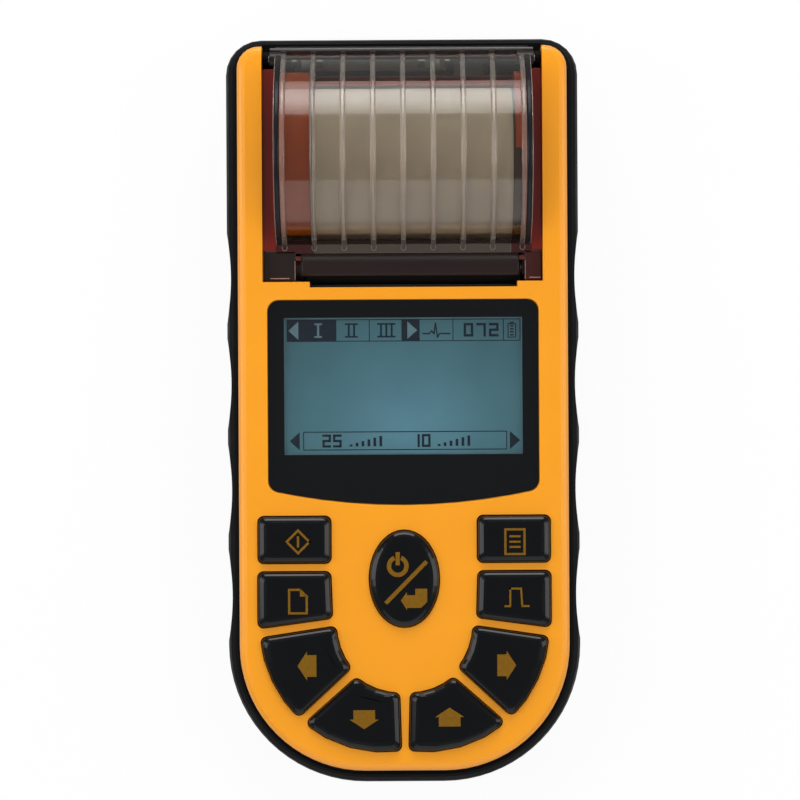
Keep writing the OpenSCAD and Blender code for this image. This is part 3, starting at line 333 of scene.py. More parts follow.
MATERIALS = {
    # covers and other plastic
    "black_shell": (moulded, dict(colour=BLACK, rough=(0.36, 0.48), change=0.12, grain=0.3, depth=0.006,
                                  shine=0.04)),
    "orange_cover": (moulded, dict(colour=ORANGE, rough=(0.3, 0.38), change=0.015, grain=0.3, depth=0.0025,
                                   coat=0.15)),
    "orange_tray": (moulded, dict(colour=(0.56, 0.1, 0.008), change=0.03)),
    # painted shade: dark copies of the orange tray for its rim and its wall beside the roll, where they lie in
    # shade
    "tray_shade_rim": (moulded, dict(colour=(0.1, 0.022, 0.02), change=0.03)),
    "tray_shade_wall": (moulded, dict(colour=(0.07, 0.034, 0.022), change=0.03)),
    "key_black": (moulded, dict(colour=(0.0015, 0.0015, 0.002), rough=(0.2, 0.26), change=0.1, grain=0.5,
                                depth=0.0015, coat=0.2, shine=0.2)),
    "frame_black": (moulded, dict(colour=(0.009, 0.009, 0.01), rough=(0.45, 0.6), shine=0.2)),
    "gear_black": (moulded, dict(colour=(0.022, 0.022, 0.024), rough=(0.35, 0.5))),
    "white_plastic": (moulded, dict(colour=(0.78, 0.8, 0.78))),
    "insert_blue": (moulded, dict(colour=(0.02, 0.06, 0.22), rough=(0.35, 0.5))),
    "ribbon": (moulded, dict(colour=(0.6, 0.55, 0.45), rough=(0.3, 0.4))),
    "rubber": (rubber, dict(colour=(0.006, 0.006, 0.006))),
    "silicone": (rubber, dict(colour=(0.05, 0.052, 0.056))),
    # metal
    "screw_steel": (metal, dict(colour=STEEL, rough=(0.3, 0.42))),
    "spring_steel": (metal, dict(colour=STEEL, rough=(0.2, 0.3), stretch=ALONG_X)),
    "bright_metal": (metal, dict(colour=(0.5, 0.5, 0.51), rough=(0.36, 0.48))),
    "black_metal": (metal, dict(colour=(0.03, 0.03, 0.032), rough=(0.35, 0.5))),
    "contact_brass": (metal, dict(colour=(0.78, 0.56, 0.2))),
    "bush_brass": (metal, dict(colour=(0.68, 0.48, 0.2), rough=(0.3, 0.45))),
    "aluminium": (metal, dict(colour=(0.6, 0.61, 0.62), rough=(0.25, 0.4), stretch=ALONG_X)),
    "motor_can": (metal, dict(colour=(0.42, 0.43, 0.45), rough=(0.28, 0.4), stretch=ALONG_X)),
    # electronics, cells and paper
    "board_green": (circuit_board, {}),
    "chip_black": (moulded, dict(colour=(0.016, 0.016, 0.018), rough=(0.5, 0.65))),
    "ceramic": (moulded, dict(colour=(0.02, 0.021, 0.022), rough=(0.3, 0.4), change=0.03, shine=0.2)),
    "cell_wrap": (striped_wrap, dict(colour=(0.05, 0.2, 0.42), band=(0.5, 0.5, 0.48))),
    "paper": (wound_paper, dict(colour=(0.83, 0.81, 0.76), pitch=0.4)),
    # painted shade: near-black paper for the web's end in the slot
    "paper_in_shade": (moulded, dict(colour=(0.03, 0.03, 0.032), rough=(0.5, 0.65))),
    "cardboard": (moulded, dict(colour=(0.44, 0.3, 0.14), rough=(0.7, 0.85), change=0.15, grain=0.5,
                                depth=0.03)),
    # display
    "window": (clear, dict(tint=(0.74, 0.8, 0.82), shadow=(0.6, 0.66, 0.68), shine=0.25)),
    "black_print": (printed, dict(colour=(0.0045, 0.0042, 0.0045), rough=0.3, shine=0.15)),
    "lcd": (screen_glass, {}),
    "screen_ink": (printed, dict(colour=(0.006, 0.011, 0.024), rough=0.4, shine=0.1)),
    "screen_pale": (printed, dict(colour=(0.16, 0.24, 0.26), rough=0.4)),
    "legend_gold": (printed, dict(colour=(0.19, 0.088, 0.004), rough=0.3, shine=0.2)),
    # the door's clear plastic, in the tint that each of its walls shows: copies of one smoky plastic whose
    # tints paint in the light and shade on each wall and the orange or paper seen through it
    "clear_brown": (clear, dict(tint=(0.56, 0.53, 0.46), shadow=(0.5, 0.4, 0.35))),
    # painted light: the ribs get a paler tint than the panes, so that they show lighter
    "pale_smoke": (clear, dict(tint=(0.7, 0.66, 0.6), shadow=RIB_SHADOW, rough=0.1, share=0.9)),
    # painted highlights: rib_smoke's pale tint on the ribs' sides and the end walls' top edges
    "rib_smoke": (clear, dict(tint=(0.8, 0.74, 0.66), shadow=RIB_SHADOW, rough=0.2, share=0.9)),
    "dark_smoke": (clear, dict(tint=(0.03, 0.022, 0.019), shadow=FAINT_SHADOW, rough=0.08, share=0.25,
                          shine=0.2)),
    "wall_smoke": (clear, dict(tint=(0.014, 0.014, 0.017), shadow=FAINT_SHADOW, rough=0.1, share=0.12,
                          shine=0.1)),
    "dull_smoke": (clear, dict(tint=(0.024, 0.014, 0.012), shadow=DEEP_SHADOW, rough=0.3, share=0.15,
                          shine=0.25)),
    # painted tints: the wine-red and rust-red copies paint reddish light on the ledge's ends, the right corner
    # block and the stops
    "wine_smoke": (clear, dict(tint=(0.06, 0.016, 0.013), shadow=DEEP_SHADOW, rough=0.25, share=0.1,
                          shine=0.3)),
    "rust_smoke": (clear, dict(tint=(0.14, 0.03, 0.02), shadow=RED_SHADOW, rough=0.15, share=0.15)),
    # painted tint: the flanges' red paints the orange seen through them
    "red_smoke": (clear, dict(tint=(0.25, 0.02, 0.01), shadow=RED_SHADOW, rough=0.15, share=0.15)),
    # painted light: the ledge's pale middle, where the paper shows through
    "tan_smoke": (clear, dict(tint=(0.105, 0.08, 0.064), shadow=(0.6, 0.5, 0.44), rough=0.12, share=0.3)),
    # painted highlight: the grey of the bead along the door's rear lip
    "lip_glint_grey": (printed, dict(colour=(0.085, 0.078, 0.077), rough=0.3)),
    # painted highlights on the corner blocks' edges
    "glint_rose": (printed, dict(colour=(0.42, 0.24, 0.22), rough=0.3)),
    # painted highlights: the pale outlines of the ribs' ends on the ledge
    "rib_tip_glint": (printed, dict(colour=(0.16, 0.13, 0.12), rough=0.2)),
}
made = {}


def look(name):
    """The material of this name from the table, made once."""
    if name not in made:
        maker, settings = MATERIALS[name]
        made[name] = maker(name, **settings)
    return made[name]


def smooth(obj, angle):
    """Smooths the shading across edges of less than angle degrees, and keeps flat faces flat."""
    mesh = obj.data
    mesh.polygons.foreach_set("use_smooth", [True] * len(mesh.polygons))
    mesh.set_sharp_from_angle(angle=math.radians(angle))
    weighted = obj.modifiers.new("weighted", "WEIGHTED_NORMAL")
    weighted.keep_sharp = True
    weighted.weight = 90


def dress_nodes():
    """Gives every CAD node the material of its slot."""
    for part in frame["record"]["subparts"]:
        obj = nodes[part["node"]]
        obj.data.materials.clear()
        obj.data.materials.append(look(part["material_slot"]))
        smooth(obj, 32)


dress_nodes()
# Painted shade: the web's end gets near-black paper, where it lies in shade in the slot by the print head.
nodes["paper_web"].data.materials[0] = look("paper_in_shade")


# ---- Thin printed shapes --------------------------------------------------------------------

LONGEST_EDGE = 1.2      # of a print's mesh before it is split to follow a curved surface
INK_SHARE = 0.8         # of a print's height. The rest is a gap, so that it never flickers with its surface


def rect(x0, y0, x1, y1):
    """An upright rectangle between two opposite corners, as a list of one outline."""
    return [[(x0, y0), (x1, y0), (x1, y1), (x0, y1)]]


def stroke(a, b, width):
    """A straight bar from a to b."""
    a, b = Vector(a), Vector(b)
    side = (b - a).orthogonal().normalized() * width / 2
    return [[tuple(a + side), tuple(b + side), tuple(b - side), tuple(a - side)][::-1]]


def band(points, width, closed=False):
    """A line of even width through points, as one outline per stretch."""
    shapes = []
    ends = list(zip(points, points[1:])) + ([(points[-1], points[0])] if closed else [])
    for a, b in ends:
        a, b = Vector(a), Vector(b)
        run = (b - a).normalized() * width / 2
        shapes += stroke(a - run, b + run, width)
    return shapes


def ring_arc(x, y, r_in, r_out, start, end, steps=32):
    """A flat ring segment between two angles in degrees."""
    turn = [math.radians(start + (end - start) * i / steps) for i in range(steps + 1)]
    outer = [(x + r_out * math.cos(t), y + r_out * math.sin(t)) for t in turn]
    inner = [(x + r_in * math.cos(t), y + r_in * math.sin(t)) for t in reversed(turn)]
    return [outer + inner]


def print_on(name, shapes, height, thickness, material):
    """Thin raised shapes. height(x, y) gives the surface they lie on, all in millimetres."""
    mesh = bpy.data.meshes.new(name)
    bm = bmesh.new()
    for outline in shapes:
        points = [Vector((x, y, 0)) for x, y in outline]
        verts = [bm.verts.new(p) for p in points]
        for a, b, c in tessellate_polygon([points]):
            try:
                bm.faces.new((verts[a], verts[b], verts[c]))
            except ValueError:
                continue
    bmesh.ops.triangulate(bm, faces=bm.faces)
    long_edges = [e for e in bm.edges if e.calc_length() > LONGEST_EDGE]
    bmesh.ops.subdivide_edges(bm, edges=long_edges, cuts=2)
    bmesh.ops.triangulate(bm, faces=bm.faces)
    bmesh.ops.recalc_face_normals(bm, faces=bm.faces)
    for face in bm.faces:
        if face.normal.z < 0:
            face.normal_flip()
    for v in bm.verts:
        v.co.z = height(v.co.x, v.co.y) + thickness
        v.co *= MM
    bm.to_mesh(mesh)
    bm.free()
    mesh.materials.append(material)
    obj = add_object(name, mesh)
    solid = obj.modifiers.new("thickness", "SOLIDIFY")
    solid.thickness = thickness * MM * INK_SHARE
    solid.offset = -1
    return obj


def surface_of(node):
    """A function that gives the top height of a CAD node at x, y, in millimetres."""
    obj = nodes[node]
    tree = BVHTree.FromPolygons([v.co for v in obj.data.vertices], [p.vertices for p in obj.data.polygons])

    def height(x, y):
        hit = tree.ray_cast(Vector((x * MM, y * MM, 1)), Vector((0, 0, -1)))[0]
        return hit.z / MM

    return height


# ---- Paper door -----------------------------------------------------------------------------

DOOR_X = DOOR_HIGH.x
HINGE_Y = (PINS_LOW.y + PINS_HIGH.y) / 2
HINGE_Z = (PINS_LOW.z + PINS_HIGH.z) / 2
PLATEN_Y = (PLATEN_LOW.y + PLATEN_HIGH.y) / 2
PLATEN_Z = (PLATEN_LOW.z + PLATEN_HIGH.z) / 2
PLATEN_R = PLATEN_HIGH.z - PLATEN_Z

SEAM = 0.03                         # between two pieces that would share a face
LEDGE_Z = HINGE_Z + 1.1             # top of the front ledge
FLANGE_Z = HINGE_Z - 0.9            # underside of the side flanges
DOOR_FRONT = CASE_HIGH.y - 62.1
DOOR_REAR = CASE_HIGH.y - 2.9

SHELL_T = 1.8
END_WALL = 1.3
DOME_Y = CASE_HIGH.y - 29.0
DOME_X = DOOR_X - 2.95              # half the dome's width
DOME_MID = 0.27                     # middle of the dome across the door
DOME_HALF = 24.1                    # half the dome's length at the top of the ledge
DOME_FRONT = DOME_Y - DOME_HALF
DOME_REAR = DOME_Y + DOME_HALF
DOME_TOP = DOOR_HIGH.z
DOME_RISE = DOME_TOP - LEDGE_Z
DOME_R = (DOME_HALF ** 2 + DOME_RISE ** 2) / (2 * DOME_RISE)
DOME_Z = DOME_TOP - DOME_R
WALL_GLINT_W = 0.15
WALL_GLINT_T = 0.5

RIB_PITCH = 7.5
RIB_W = 1.2
RIB_T = 0.8
RIB_EDGE = 0.22                     # width of a rib's side, rougher and tinted paler as a painted highlight along the rib's edge
RIB_X = [DOME_MID + i * RIB_PITCH for i in range(-4, 5)]

BLOCK_T = 0.45
BLOCK_WALL = 0.9
BLOCK_GAP = 1.5                     # between a corner block and the lip's end
BLOCK_REAR = PLATEN_Y + 4
FLANGE_FRONT = BLOCK_REAR + 0.05
FLANGE_REAR = CASE_HIGH.y - 8.6
FLANGE_T = 1.6
LEDGE_FRONT = PLATEN_Y + 3.4
LEDGE_REAR = DOME_FRONT + 2.2
LEDGE_T = 1.4
LEDGE_X = (ROLL_LOW.x - 0.1, ROLL_HIGH.x - 0.2)     # the pale middle of the ledge, as wide as the paper, tinted pale as painted light where the paper shows through
LIP_X = (PLATEN_LOW.x - 1.1, PLATEN_HIGH.x - 0.5)
LIP_R = PLATEN_R + 0.5              # inner radius of the lip round the platen
LIP_T = 1.5
ARM_R = 4.0
ARM_T = 1.2

REAR_LIP_W = 2.7
REAR_LIP_T = 0.8
LIP_GLINT_R = 0.42
FOOT_SHADE_W = 1.4
LUG_R = 1.9


def prisms(name, spans, material, bevel=0.0):
    """Solids drawn as (x0, x1, outline in y and z), all of one mesh, with their edges rounded by bevel."""
    bm = bmesh.new()
    for x0, x1, outline in spans:
        ends = [[bm.verts.new((x * MM, y * MM, z * MM)) for y, z in outline] for x in (x0, x1)]
        bm.faces.new(ends[0])
        bm.faces.new(ends[1][::-1])
        for i, start in enumerate(ends[0]):
            j = (i + 1) % len(outline)
            bm.faces.new((start, ends[1][i], ends[1][j], ends[0][j]))
    bmesh.ops.recalc_face_normals(bm, faces=bm.faces)
    mesh = bpy.data.meshes.new(name)
    bm.to_mesh(mesh)
    bm.free()
    mesh.materials.append(material)
    obj = add_object(name, mesh)
    if bevel:
        rounding = obj.modifiers.new("rounding", "BEVEL")
        rounding.width = bevel * MM
        rounding.segments = 3
        rounding.angle_limit = math.radians(35)
    smooth(obj, 32)
    return obj


def box_yz(y0, z0, y1, z1):
    """The outline of a rectangle in the Y-Z plane."""
    return [(y0, z0), (y1, z0), (y1, z1), (y0, z1)]


def arc(cy, cz, r, start, end, steps):
    """Points on an arc in the Y-Z plane, between two angles in degrees."""
    turn = [math.radians(start + (end - start) * i / steps) for i in range(steps + 1)]
    return [(cy + r * math.cos(t), cz + r * math.sin(t)) for t in turn]


def dome_arc(r, rear_z, front_z, steps=72):
    """The dome's arc of radius r, from its rear foot at level rear_z to its front foot at level front_z."""
    start = math.degrees(math.asin((rear_z - DOME_Z) / r))
    end = 180 - math.degrees(math.asin((front_z - DOME_Z) / r))
    return arc(DOME_Y, DOME_Z, r, start, end, steps)


def dome_band(r_in, r_out):
    """The outline of the dome between two radii, from its rear foot to its front foot."""
    rear = LEDGE_Z - LEDGE_T
    return dome_arc(r_out, rear, LEDGE_Z) + dome_arc(r_in, rear, LEDGE_Z)[::-1]


def both_sides(x0, x1, outline, middle=0.0):
    """One solid on each side of middle, from x0 to x1 away from it."""
    return [(middle + side * x0, middle + side * x1, outline) for side in (-1, 1)]


def dome_pieces():
    """Clear panes between ribs whose sides are rougher and tinted pale as painted highlights, and dark end
    walls with a thin pale strip on top as a painted highlight.
    """
    inner_x = DOME_X - END_WALL - SEAM
    gap = RIB_W / 2 + 0.05
    edges = [x + side * gap for x in RIB_X for side in (-1, 1)]
    edges = [DOME_MID - inner_x] + edges + [DOME_MID + inner_x]
    pane = dome_band(DOME_R - SHELL_T, DOME_R - 0.12)
    panes = [(a, b, pane) for a, b in zip(edges[::2], edges[1::2]) if b - a > 0.1]
    rib = dome_band(DOME_R - SHELL_T - RIB_T, DOME_R)
    ribs = [(x - RIB_W / 2 + RIB_EDGE, x + RIB_W / 2 - RIB_EDGE, rib) for x in RIB_X]
    side_in, side_out = RIB_W / 2 - RIB_EDGE + 0.02, RIB_W / 2
    rib_sides = [span for x in RIB_X for span in both_sides(side_out, side_in, rib, x)]
    wall = dome_arc(DOME_R - 0.02, LEDGE_Z, LEDGE_Z)
    wall = [(wall[0][0], FLANGE_Z)] + wall + [(wall[-1][0], FLANGE_Z)]
    # painted highlight: a thin pale strip along each end wall's top
    wall_glint = dome_arc(DOME_R, LEDGE_Z, LEDGE_Z) + dome_arc(DOME_R - WALL_GLINT_T, LEDGE_Z, LEDGE_Z)[::-1]
    wall_glint_x = DOME_X + 0.02
    return [
        prisms("door_panes", panes, look("clear_brown"), 0.08),
        prisms("door_ribs", ribs, look("pale_smoke"), 0.08),
        prisms("door_rib_sides", rib_sides, look("rib_smoke"), 0.05),
        prisms("door_end_walls", both_sides(DOME_X, DOME_X - END_WALL, wall, DOME_MID),
               look("wall_smoke"), 0.3),
        prisms("door_wall_glints", both_sides(wall_glint_x, wall_glint_x + WALL_GLINT_W, wall_glint, DOME_MID),
               look("rib_smoke"), 0.04),
    ]


def ledge_pieces():
    """The flanges beside the dome, tinted red as painted light from the orange seen through them, and the ledge
    in front of it with its middle painted pale where the paper shows through.
    """
    flange = box_yz(FLANGE_FRONT, FLANGE_Z, FLANGE_REAR, FLANGE_Z + FLANGE_T)
    flanges = [(DOME_MID + side * (DOME_X + 0.2), side * (DOOR_X + 0.24), flange) for side in (-1, 1)]
    ledge = box_yz(LEDGE_FRONT, LEDGE_Z - LEDGE_T, LEDGE_REAR, LEDGE_Z)
    reach = DOME_X + 0.15
    ledge_ends = [(DOME_MID - reach, LEDGE_X[0] - 0.02, ledge), (LEDGE_X[1] + 0.02, DOME_MID + reach, ledge)]
    return [
        prisms("door_flanges", flanges, look("red_smoke"), 0.08),
        prisms("door_ledge", [(*LEDGE_X, ledge)], look("tan_smoke"), 0.2),
        prisms("door_ledge_ends", ledge_ends, look("wine_smoke"), 0.05),
    ]


def corner_block(outer, inner):
    """The open block beside the lip's end: a top plate, a front wall and an outer wall."""
    side = math.copysign(1, outer)
    plate = box_yz(DOOR_FRONT, LEDGE_Z - BLOCK_T, BLOCK_REAR, LEDGE_Z)
    low_z = LEDGE_Z - BLOCK_T - SEAM
    nose = box_yz(DOOR_FRONT, FLANGE_Z, DOOR_FRONT + BLOCK_WALL, low_z)
    flank = box_yz(DOOR_FRONT + BLOCK_WALL + SEAM, FLANGE_Z, BLOCK_REAR, low_z)
    left, right = sorted((outer, inner))
    flank_x = sorted((outer, outer - side * BLOCK_WALL))
    return [(left, right, plate), (left, right, nose), (*flank_x, flank)]


def front_pieces():
    """The lip over the platen, the corner blocks, and the stops and arms that hold the platen's ends."""
    lip = (arc(PLATEN_Y, PLATEN_Z, LIP_R + LIP_T, 52, 113, 20)
           + arc(PLATEN_Y, PLATEN_Z, LIP_R, 113, 52, 20))
    stop = box_yz(PLATEN_Y + 1.6, LEDGE_Z - 0.9, PLATEN_Y + 2.7, LEDGE_Z - 0.1)
    near, far = 0.05, BLOCK_GAP - 0.05
    stops = [(LIP_X[0] - far, LIP_X[0] - near, stop), (LIP_X[1] + near, LIP_X[1] + far, stop)]
    foot_z = LEDGE_Z - 1.5
    arm = arc(PLATEN_Y, PLATEN_Z, ARM_R, 180, 360, 24)
    arm += [(PLATEN_Y + ARM_R, foot_z), (PLATEN_Y - 1.9, foot_z)]
    arms = [(PLATEN_LOW.x - 0.3 - ARM_T, PLATEN_LOW.x - 0.3, arm),
            (PLATEN_HIGH.x + 0.3, PLATEN_HIGH.x + 0.3 + ARM_T, arm)]
    return [
        prisms("door_lip", [(*LIP_X, lip)], look("dull_smoke"), 0.25),
        prisms("door_left_block", corner_block(-DOOR_X, LIP_X[0] - BLOCK_GAP), look("dark_smoke"), 0.15),
        # painted tint: the right block is wine-red and the left dark, to paint the reddish light in it
        prisms("door_right_block", corner_block(DOOR_X, LIP_X[1] + BLOCK_GAP), look("wine_smoke"), 0.15),
        prisms("door_stops", stops, look("rust_smoke"), 0.1),
        prisms("door_arms", arms, look("dark_smoke"), 0.1),
    ]


def rear_pieces():
    """The rear lip with a grey bead on it that paints the highlight along the lip's edge, dark blocks at the
    ribs' feet that paint the shade where the ribs end, and the lugs round the hinge pins.
    """
    lip = box_yz(DOOR_REAR - REAR_LIP_W, FLANGE_Z, DOOR_REAR, FLANGE_Z + REAR_LIP_T)
    foot_z = FLANGE_Z + REAR_LIP_T + SEAM
    # painted highlight: a grey half-round bead along the lip's rear edge
    lip_glint = arc(DOOR_REAR - 0.7, foot_z, LIP_GLINT_R, 0, 180, 12)
    lip_glint_x = DOOR_X - 1.7
    # painted shade: a dark block at each rib's foot, where the rib ends in shade
    foot_shade = box_yz(DOME_REAR + 0.02, foot_z, DOME_REAR + 0.8, LEDGE_Z)
    foot_shades = [(x - FOOT_SHADE_W / 2, x + FOOT_SHADE_W / 2, foot_shade) for x in RIB_X]
    lug = arc(HINGE_Y, HINGE_Z, LUG_R, 0, 345, 23)
    lugs = both_sides(DOME_X - END_WALL - 1.7, DOOR_X - 1.5, lug)
    return [
        prisms("door_rear_lip", [(-DOME_X, DOME_X, lip)], look("dark_smoke"), 0.1),
        prisms("door_rear_lip_glint", [(-lip_glint_x, lip_glint_x, lip_glint)], look("lip_glint_grey")),
        prisms("door_rib_foot_shades", foot_shades, look("dull_smoke"), 0.15),
        prisms("door_hinge_lugs", lugs, look("dull_smoke"), 0.2),
    ]


def glint_piece():
    """Painted highlights: thin pale lines along the moulded edges of the corner blocks."""
    base_z = LEDGE_Z + 0.01
    front = box_yz(DOOR_FRONT + 0.5, base_z, DOOR_FRONT + 0.72, LEDGE_Z + 0.09)
    inner = box_yz(DOOR_FRONT + 0.2, base_z, PLATEN_Y + 1.5, LEDGE_Z + 0.07)
    glints = [(1.55 - DOOR_X, 6.35 - DOOR_X, front), (DOOR_X - 2.95, DOOR_X - 0.1, front)]
    near, far = BLOCK_GAP + 0.1, BLOCK_GAP + 0.22
    glints += [(LIP_X[0] - far, LIP_X[0] - near, inner), (LIP_X[1] + near, LIP_X[1] + far, inner)]
    return prisms("door_block_glints", glints, look("glint_rose"))


def rib_tip_glints():
    """Painted highlights: the pale outlines of the ribs' rounded ends, printed as thin ridges on the front
    ledge.
    """
    line_w = 0.22
    y0, y1, r = PLATEN_Y + 4.7, DOME_FRONT - 0.2, RIB_W / 2
    shapes = []
    for x in RIB_X:
        shapes += stroke((x - r, y0), (x - r, y1), line_w) + stroke((x + r, y0), (x + r, y1), line_w)
        shapes += ring_arc(x, y0, r - line_w / 2, r + line_w / 2, 180, 360, 12)
    return shapes


def tray_pieces():
    """Painted shade: the tray's dark rim behind the paper roll, and its dark curved wall beside the roll's
    right end, darker copies of the orange tray where it lies in shade.
    """
    rim = box_yz(ROLL_MIDDLE.y + 20.7, ROLL_MIDDLE.z - 2.7, ROLL_MIDDLE.y + 22.3, ROLL_MIDDLE.z + 1.0)
    wall = arc(ROLL_MIDDLE.y, ROLL_MIDDLE.z, ROLL_HIGH.z - ROLL_MIDDLE.z + 1.1, 25, 155, 40)
    wall_x = (ROLL_HIGH.x + 0.12, ROLL_HIGH.x + 1.9)
    return [
        prisms("tray_shade_rim", [(ROLL_LOW.x - 0.5, ROLL_HIGH.x + 0.9, rim)], look("tray_shade_rim"), 0.4),
        prisms("tray_shade_wall", [(*wall_x, wall)], look("tray_shade_wall"), 0.1),
    ]


for piece in dome_pieces() + ledge_pieces() + front_pieces() + rear_pieces() + [glint_piece()]:
    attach(piece, "door")
    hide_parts("paper_door")
# painted highlights: the rib ends' pale outlines, printed on the ledge
ledge_glints = print_on("door_rib_tip_glints", rib_tip_glints(), lambda x, y: LEDGE_Z, 0.12, look("rib_tip_glint"))
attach(ledge_glints, "door")
for piece in tray_pieces():
    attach(piece, "case")


# ---- Key legends ----------------------------------------------------------------------------

INK = 0.56          # width of a legend's line
PRINT_T = 0.04      # how far the ink stands up


def start_legend():
    """A diamond with a bar in it."""
    x, y, r = -26.6, -32.7, 2.85
    diamond = [(x, y + r), (x + r, y), (x, y - r), (x - r, y)]
    return band(diamond, INK, True) + stroke((x, y - 1.4), (x, y + 1.4), INK)


def mode_legend():
    """A sheet with a folded corner."""
    x0, x1, y0, y1, fold = -28.9, -24.5, -50.6, -44.7, 1.7
    sheet = [(x0, y0), (x1, y0), (x1, y1 - fold), (x1 - fold, y1), (x0, y1)]
    flap = [[(x1 - fold, y1), (x1 - fold, y1 - fold), (x1, y1 - fold)]]
    return band(sheet, INK, True) + flap


def report_legend():
    """A sheet with three lines. Its sides bend where the key's top slopes down."""
    x0, x1, y0, y1 = 25.35, 30.15, -36.05, -29.85
    bend = y0 + 1.0
    lines = [stroke((x0 + 1.0, y), (x1 - 1.0, y), INK * 0.9)[0] for y in (y0 + 1.8, y0 + 3.1, y0 + 4.45)]
    return band([(x0, y0), (x1, y0), (x1, bend), (x1, y1), (x0, y1), (x0, bend)], INK, True) + lines


def calibrate_legend():
    """A square pulse."""
    low, high = -49.1, -44.7
    pulse = [(25.3, low), (26.5, low), (26.5, high), (29.2, high), (29.5, low), (31.1, low)]
    return band(pulse, INK * 0.85)


def arrow(x, y, turn):
    """A short broad arrow with its tip at x, y, pointing along the angle turn."""
    head, length, head_half, shaft_half = 2.4, 4.75, 3.65, 2.72
    shape = [(0, 0), (-head, head_half), (-head, shaft_half), (-length, shaft_half),
             (-length, -shaft_half), (-head, -shaft_half), (-head, -head_half)]
    c, s = math.cos(math.radians(turn)), math.sin(math.radians(turn))
    return [[(x + px * c - py * s, y + px * s + py * c) for px, py in shape]]


def power_legend():
    """A power sign and an enter arrow, with a slanting line between them."""
    x, y = -1.65, -38.9
    ring = ring_arc(x, y, 1.65, 2.75, 112, 428)
    bar = stroke((x, y + 0.2), (x, y + 3.5), 1.05)
    slash = stroke((-4.7, -48.2), (5.6, -37.8), 1.0)
    enter = [[(-0.9, -47.5), (0.6, -49.95), (0.6, -49.4), (4.1, -49.4), (5.7, -47.9), (5.7, -44.6),
              (2.7, -44.6), (2.7, -46.2), (0.6, -46.2), (0.6, -45.4)]]
    return ring + bar + slash + enter


LEGENDS = {
    "key_start": start_legend(),
    "key_mode": mode_legend(),
    "key_report": report_legend(),
    "key_calibrate": calibrate_legend(),
    "key_left": arrow(-26.9, -63.8, 180),
    "key_right": arrow(27.9, -63.9, 0),
    "key_down": arrow(-10.25, -79.7, 270),
    "key_up": arrow(11.15, -74.4, 90),
    "key_power": power_legend(),
}

for key, shapes in LEGENDS.items():
    name = key.replace("key_", "legend_")
    legend = print_on(name, shapes, surface_of(key), PRINT_T, look("legend_gold"))
    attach(legend, key + "_body")


# ---- Screen ---------------------------------------------------------------------------------

SCREEN_HALF = 30.0
SCREEN_TOP = 23.5
SCREEN_BOTTOM = -11.0
BAR_TOP = SCREEN_TOP - 0.5
BAR_LOW = SCREEN_TOP - 5.9
BAR_MIDDLE = (BAR_TOP + BAR_LOW) / 2
BAR_X = (-29.2, 29.5)
LEAD_LINES = (-16.8, -8.5, -0.4)    # right ends of the cells of leads one, two and three
ARROW_END = 4.2
TRACE_END = 12.6
NUMBER_END = 25.3
FOOT_TOP = -5.2
FOOT_LOW = -9.9
FOOT_MIDDLE = (FOOT_TOP + FOOT_LOW) / 2
HAIRLINE = 0.22
SEGMENTS = {"0": "abcdef", "1": "bc", "2": "abged", "5": "afgcd", "7": "abc"}


def digit(text, x, y, w, h, line):
    """A seven-segment figure with its lower left corner at x, y."""
    mid = y + h / 2
    bars = {
        "a": ((x, y + h), (x + w, y + h)), "g": ((x, mid), (x + w, mid)), "d": ((x, y), (x + w, y)),
        "f": ((x, mid), (x, y + h)), "b": ((x + w, mid), (x + w, y + h)),
        "e": ((x, y), (x, mid)), "c": ((x + w, y), (x + w, mid)),
    }
    shapes = []
    for segment in SEGMENTS[text]:
        a, b = (Vector(p) for p in bars[segment])
        run = (b - a).normalized() * line / 2
        shapes += stroke(a - run, b + run, line)
    return shapes


def figures(text, x, y, w=1.6, h=2.7, line=0.58, pitch=2.7):
    """Seven-segment figures in a row, the first with its lower left corner at x, y."""
    shapes = []
    for i, character in enumerate(text):
        shapes += digit(character, x + i * pitch, y, w, h, line)
    return shapes


def roman(count, x, y, h=3.2, line=0.5, serif=0.42, pitch=1.35):
    """count upright strokes round x, joined by serifs at the top and bottom."""
    half = (count - 1) * pitch / 2
    wide = half + 0.95
    shapes = []
    for i in range(count):
        upright_x = x - half + i * pitch
        shapes += stroke((upright_x, y), (upright_x, y + h), line)
    for level in (y, y + h):
        shapes += stroke((x - wide, level), (x + wide, level), serif)
    return shapes


def frame_of(x0, y0, x1, y1, line=HAIRLINE):
    """The four sides of a rectangle."""
    return band([(x0, y0), (x1, y0), (x1, y1), (x0, y1)], line, True)


def triangle(x_tip, x_base, y, half):
    """A triangle with its tip at x_tip, y and its upright base at x_base."""
    return [[(x_tip, y), (x_base, y - half), (x_base, y + half)]]


def battery_sign(x0, x1, y):
    """An upright battery with four bars of charge, from x0 to x1 and round the level y."""
    inner = (x0 + 0.5, x1 - 0.5)
    shapes = frame_of(x0, y - 1.9, x1, y + 1.5, 0.26) + rect(inner[0], y + 1.6, inner[1], y + 2.0)
    for i in range(4):
        shapes += rect(inner[0], y - 1.5 + i * 0.75, inner[1], y - 1.1 + i * 0.75)
    return shapes


def level_bars(left, y):
    """Six bars that grow from left to right."""
    shapes = []
    for i in range(6):
        shapes += rect(left + i * 1.5, y - 1.4, left + i * 1.5 + 0.7, y - 0.9 + i * 0.42)
    return shapes


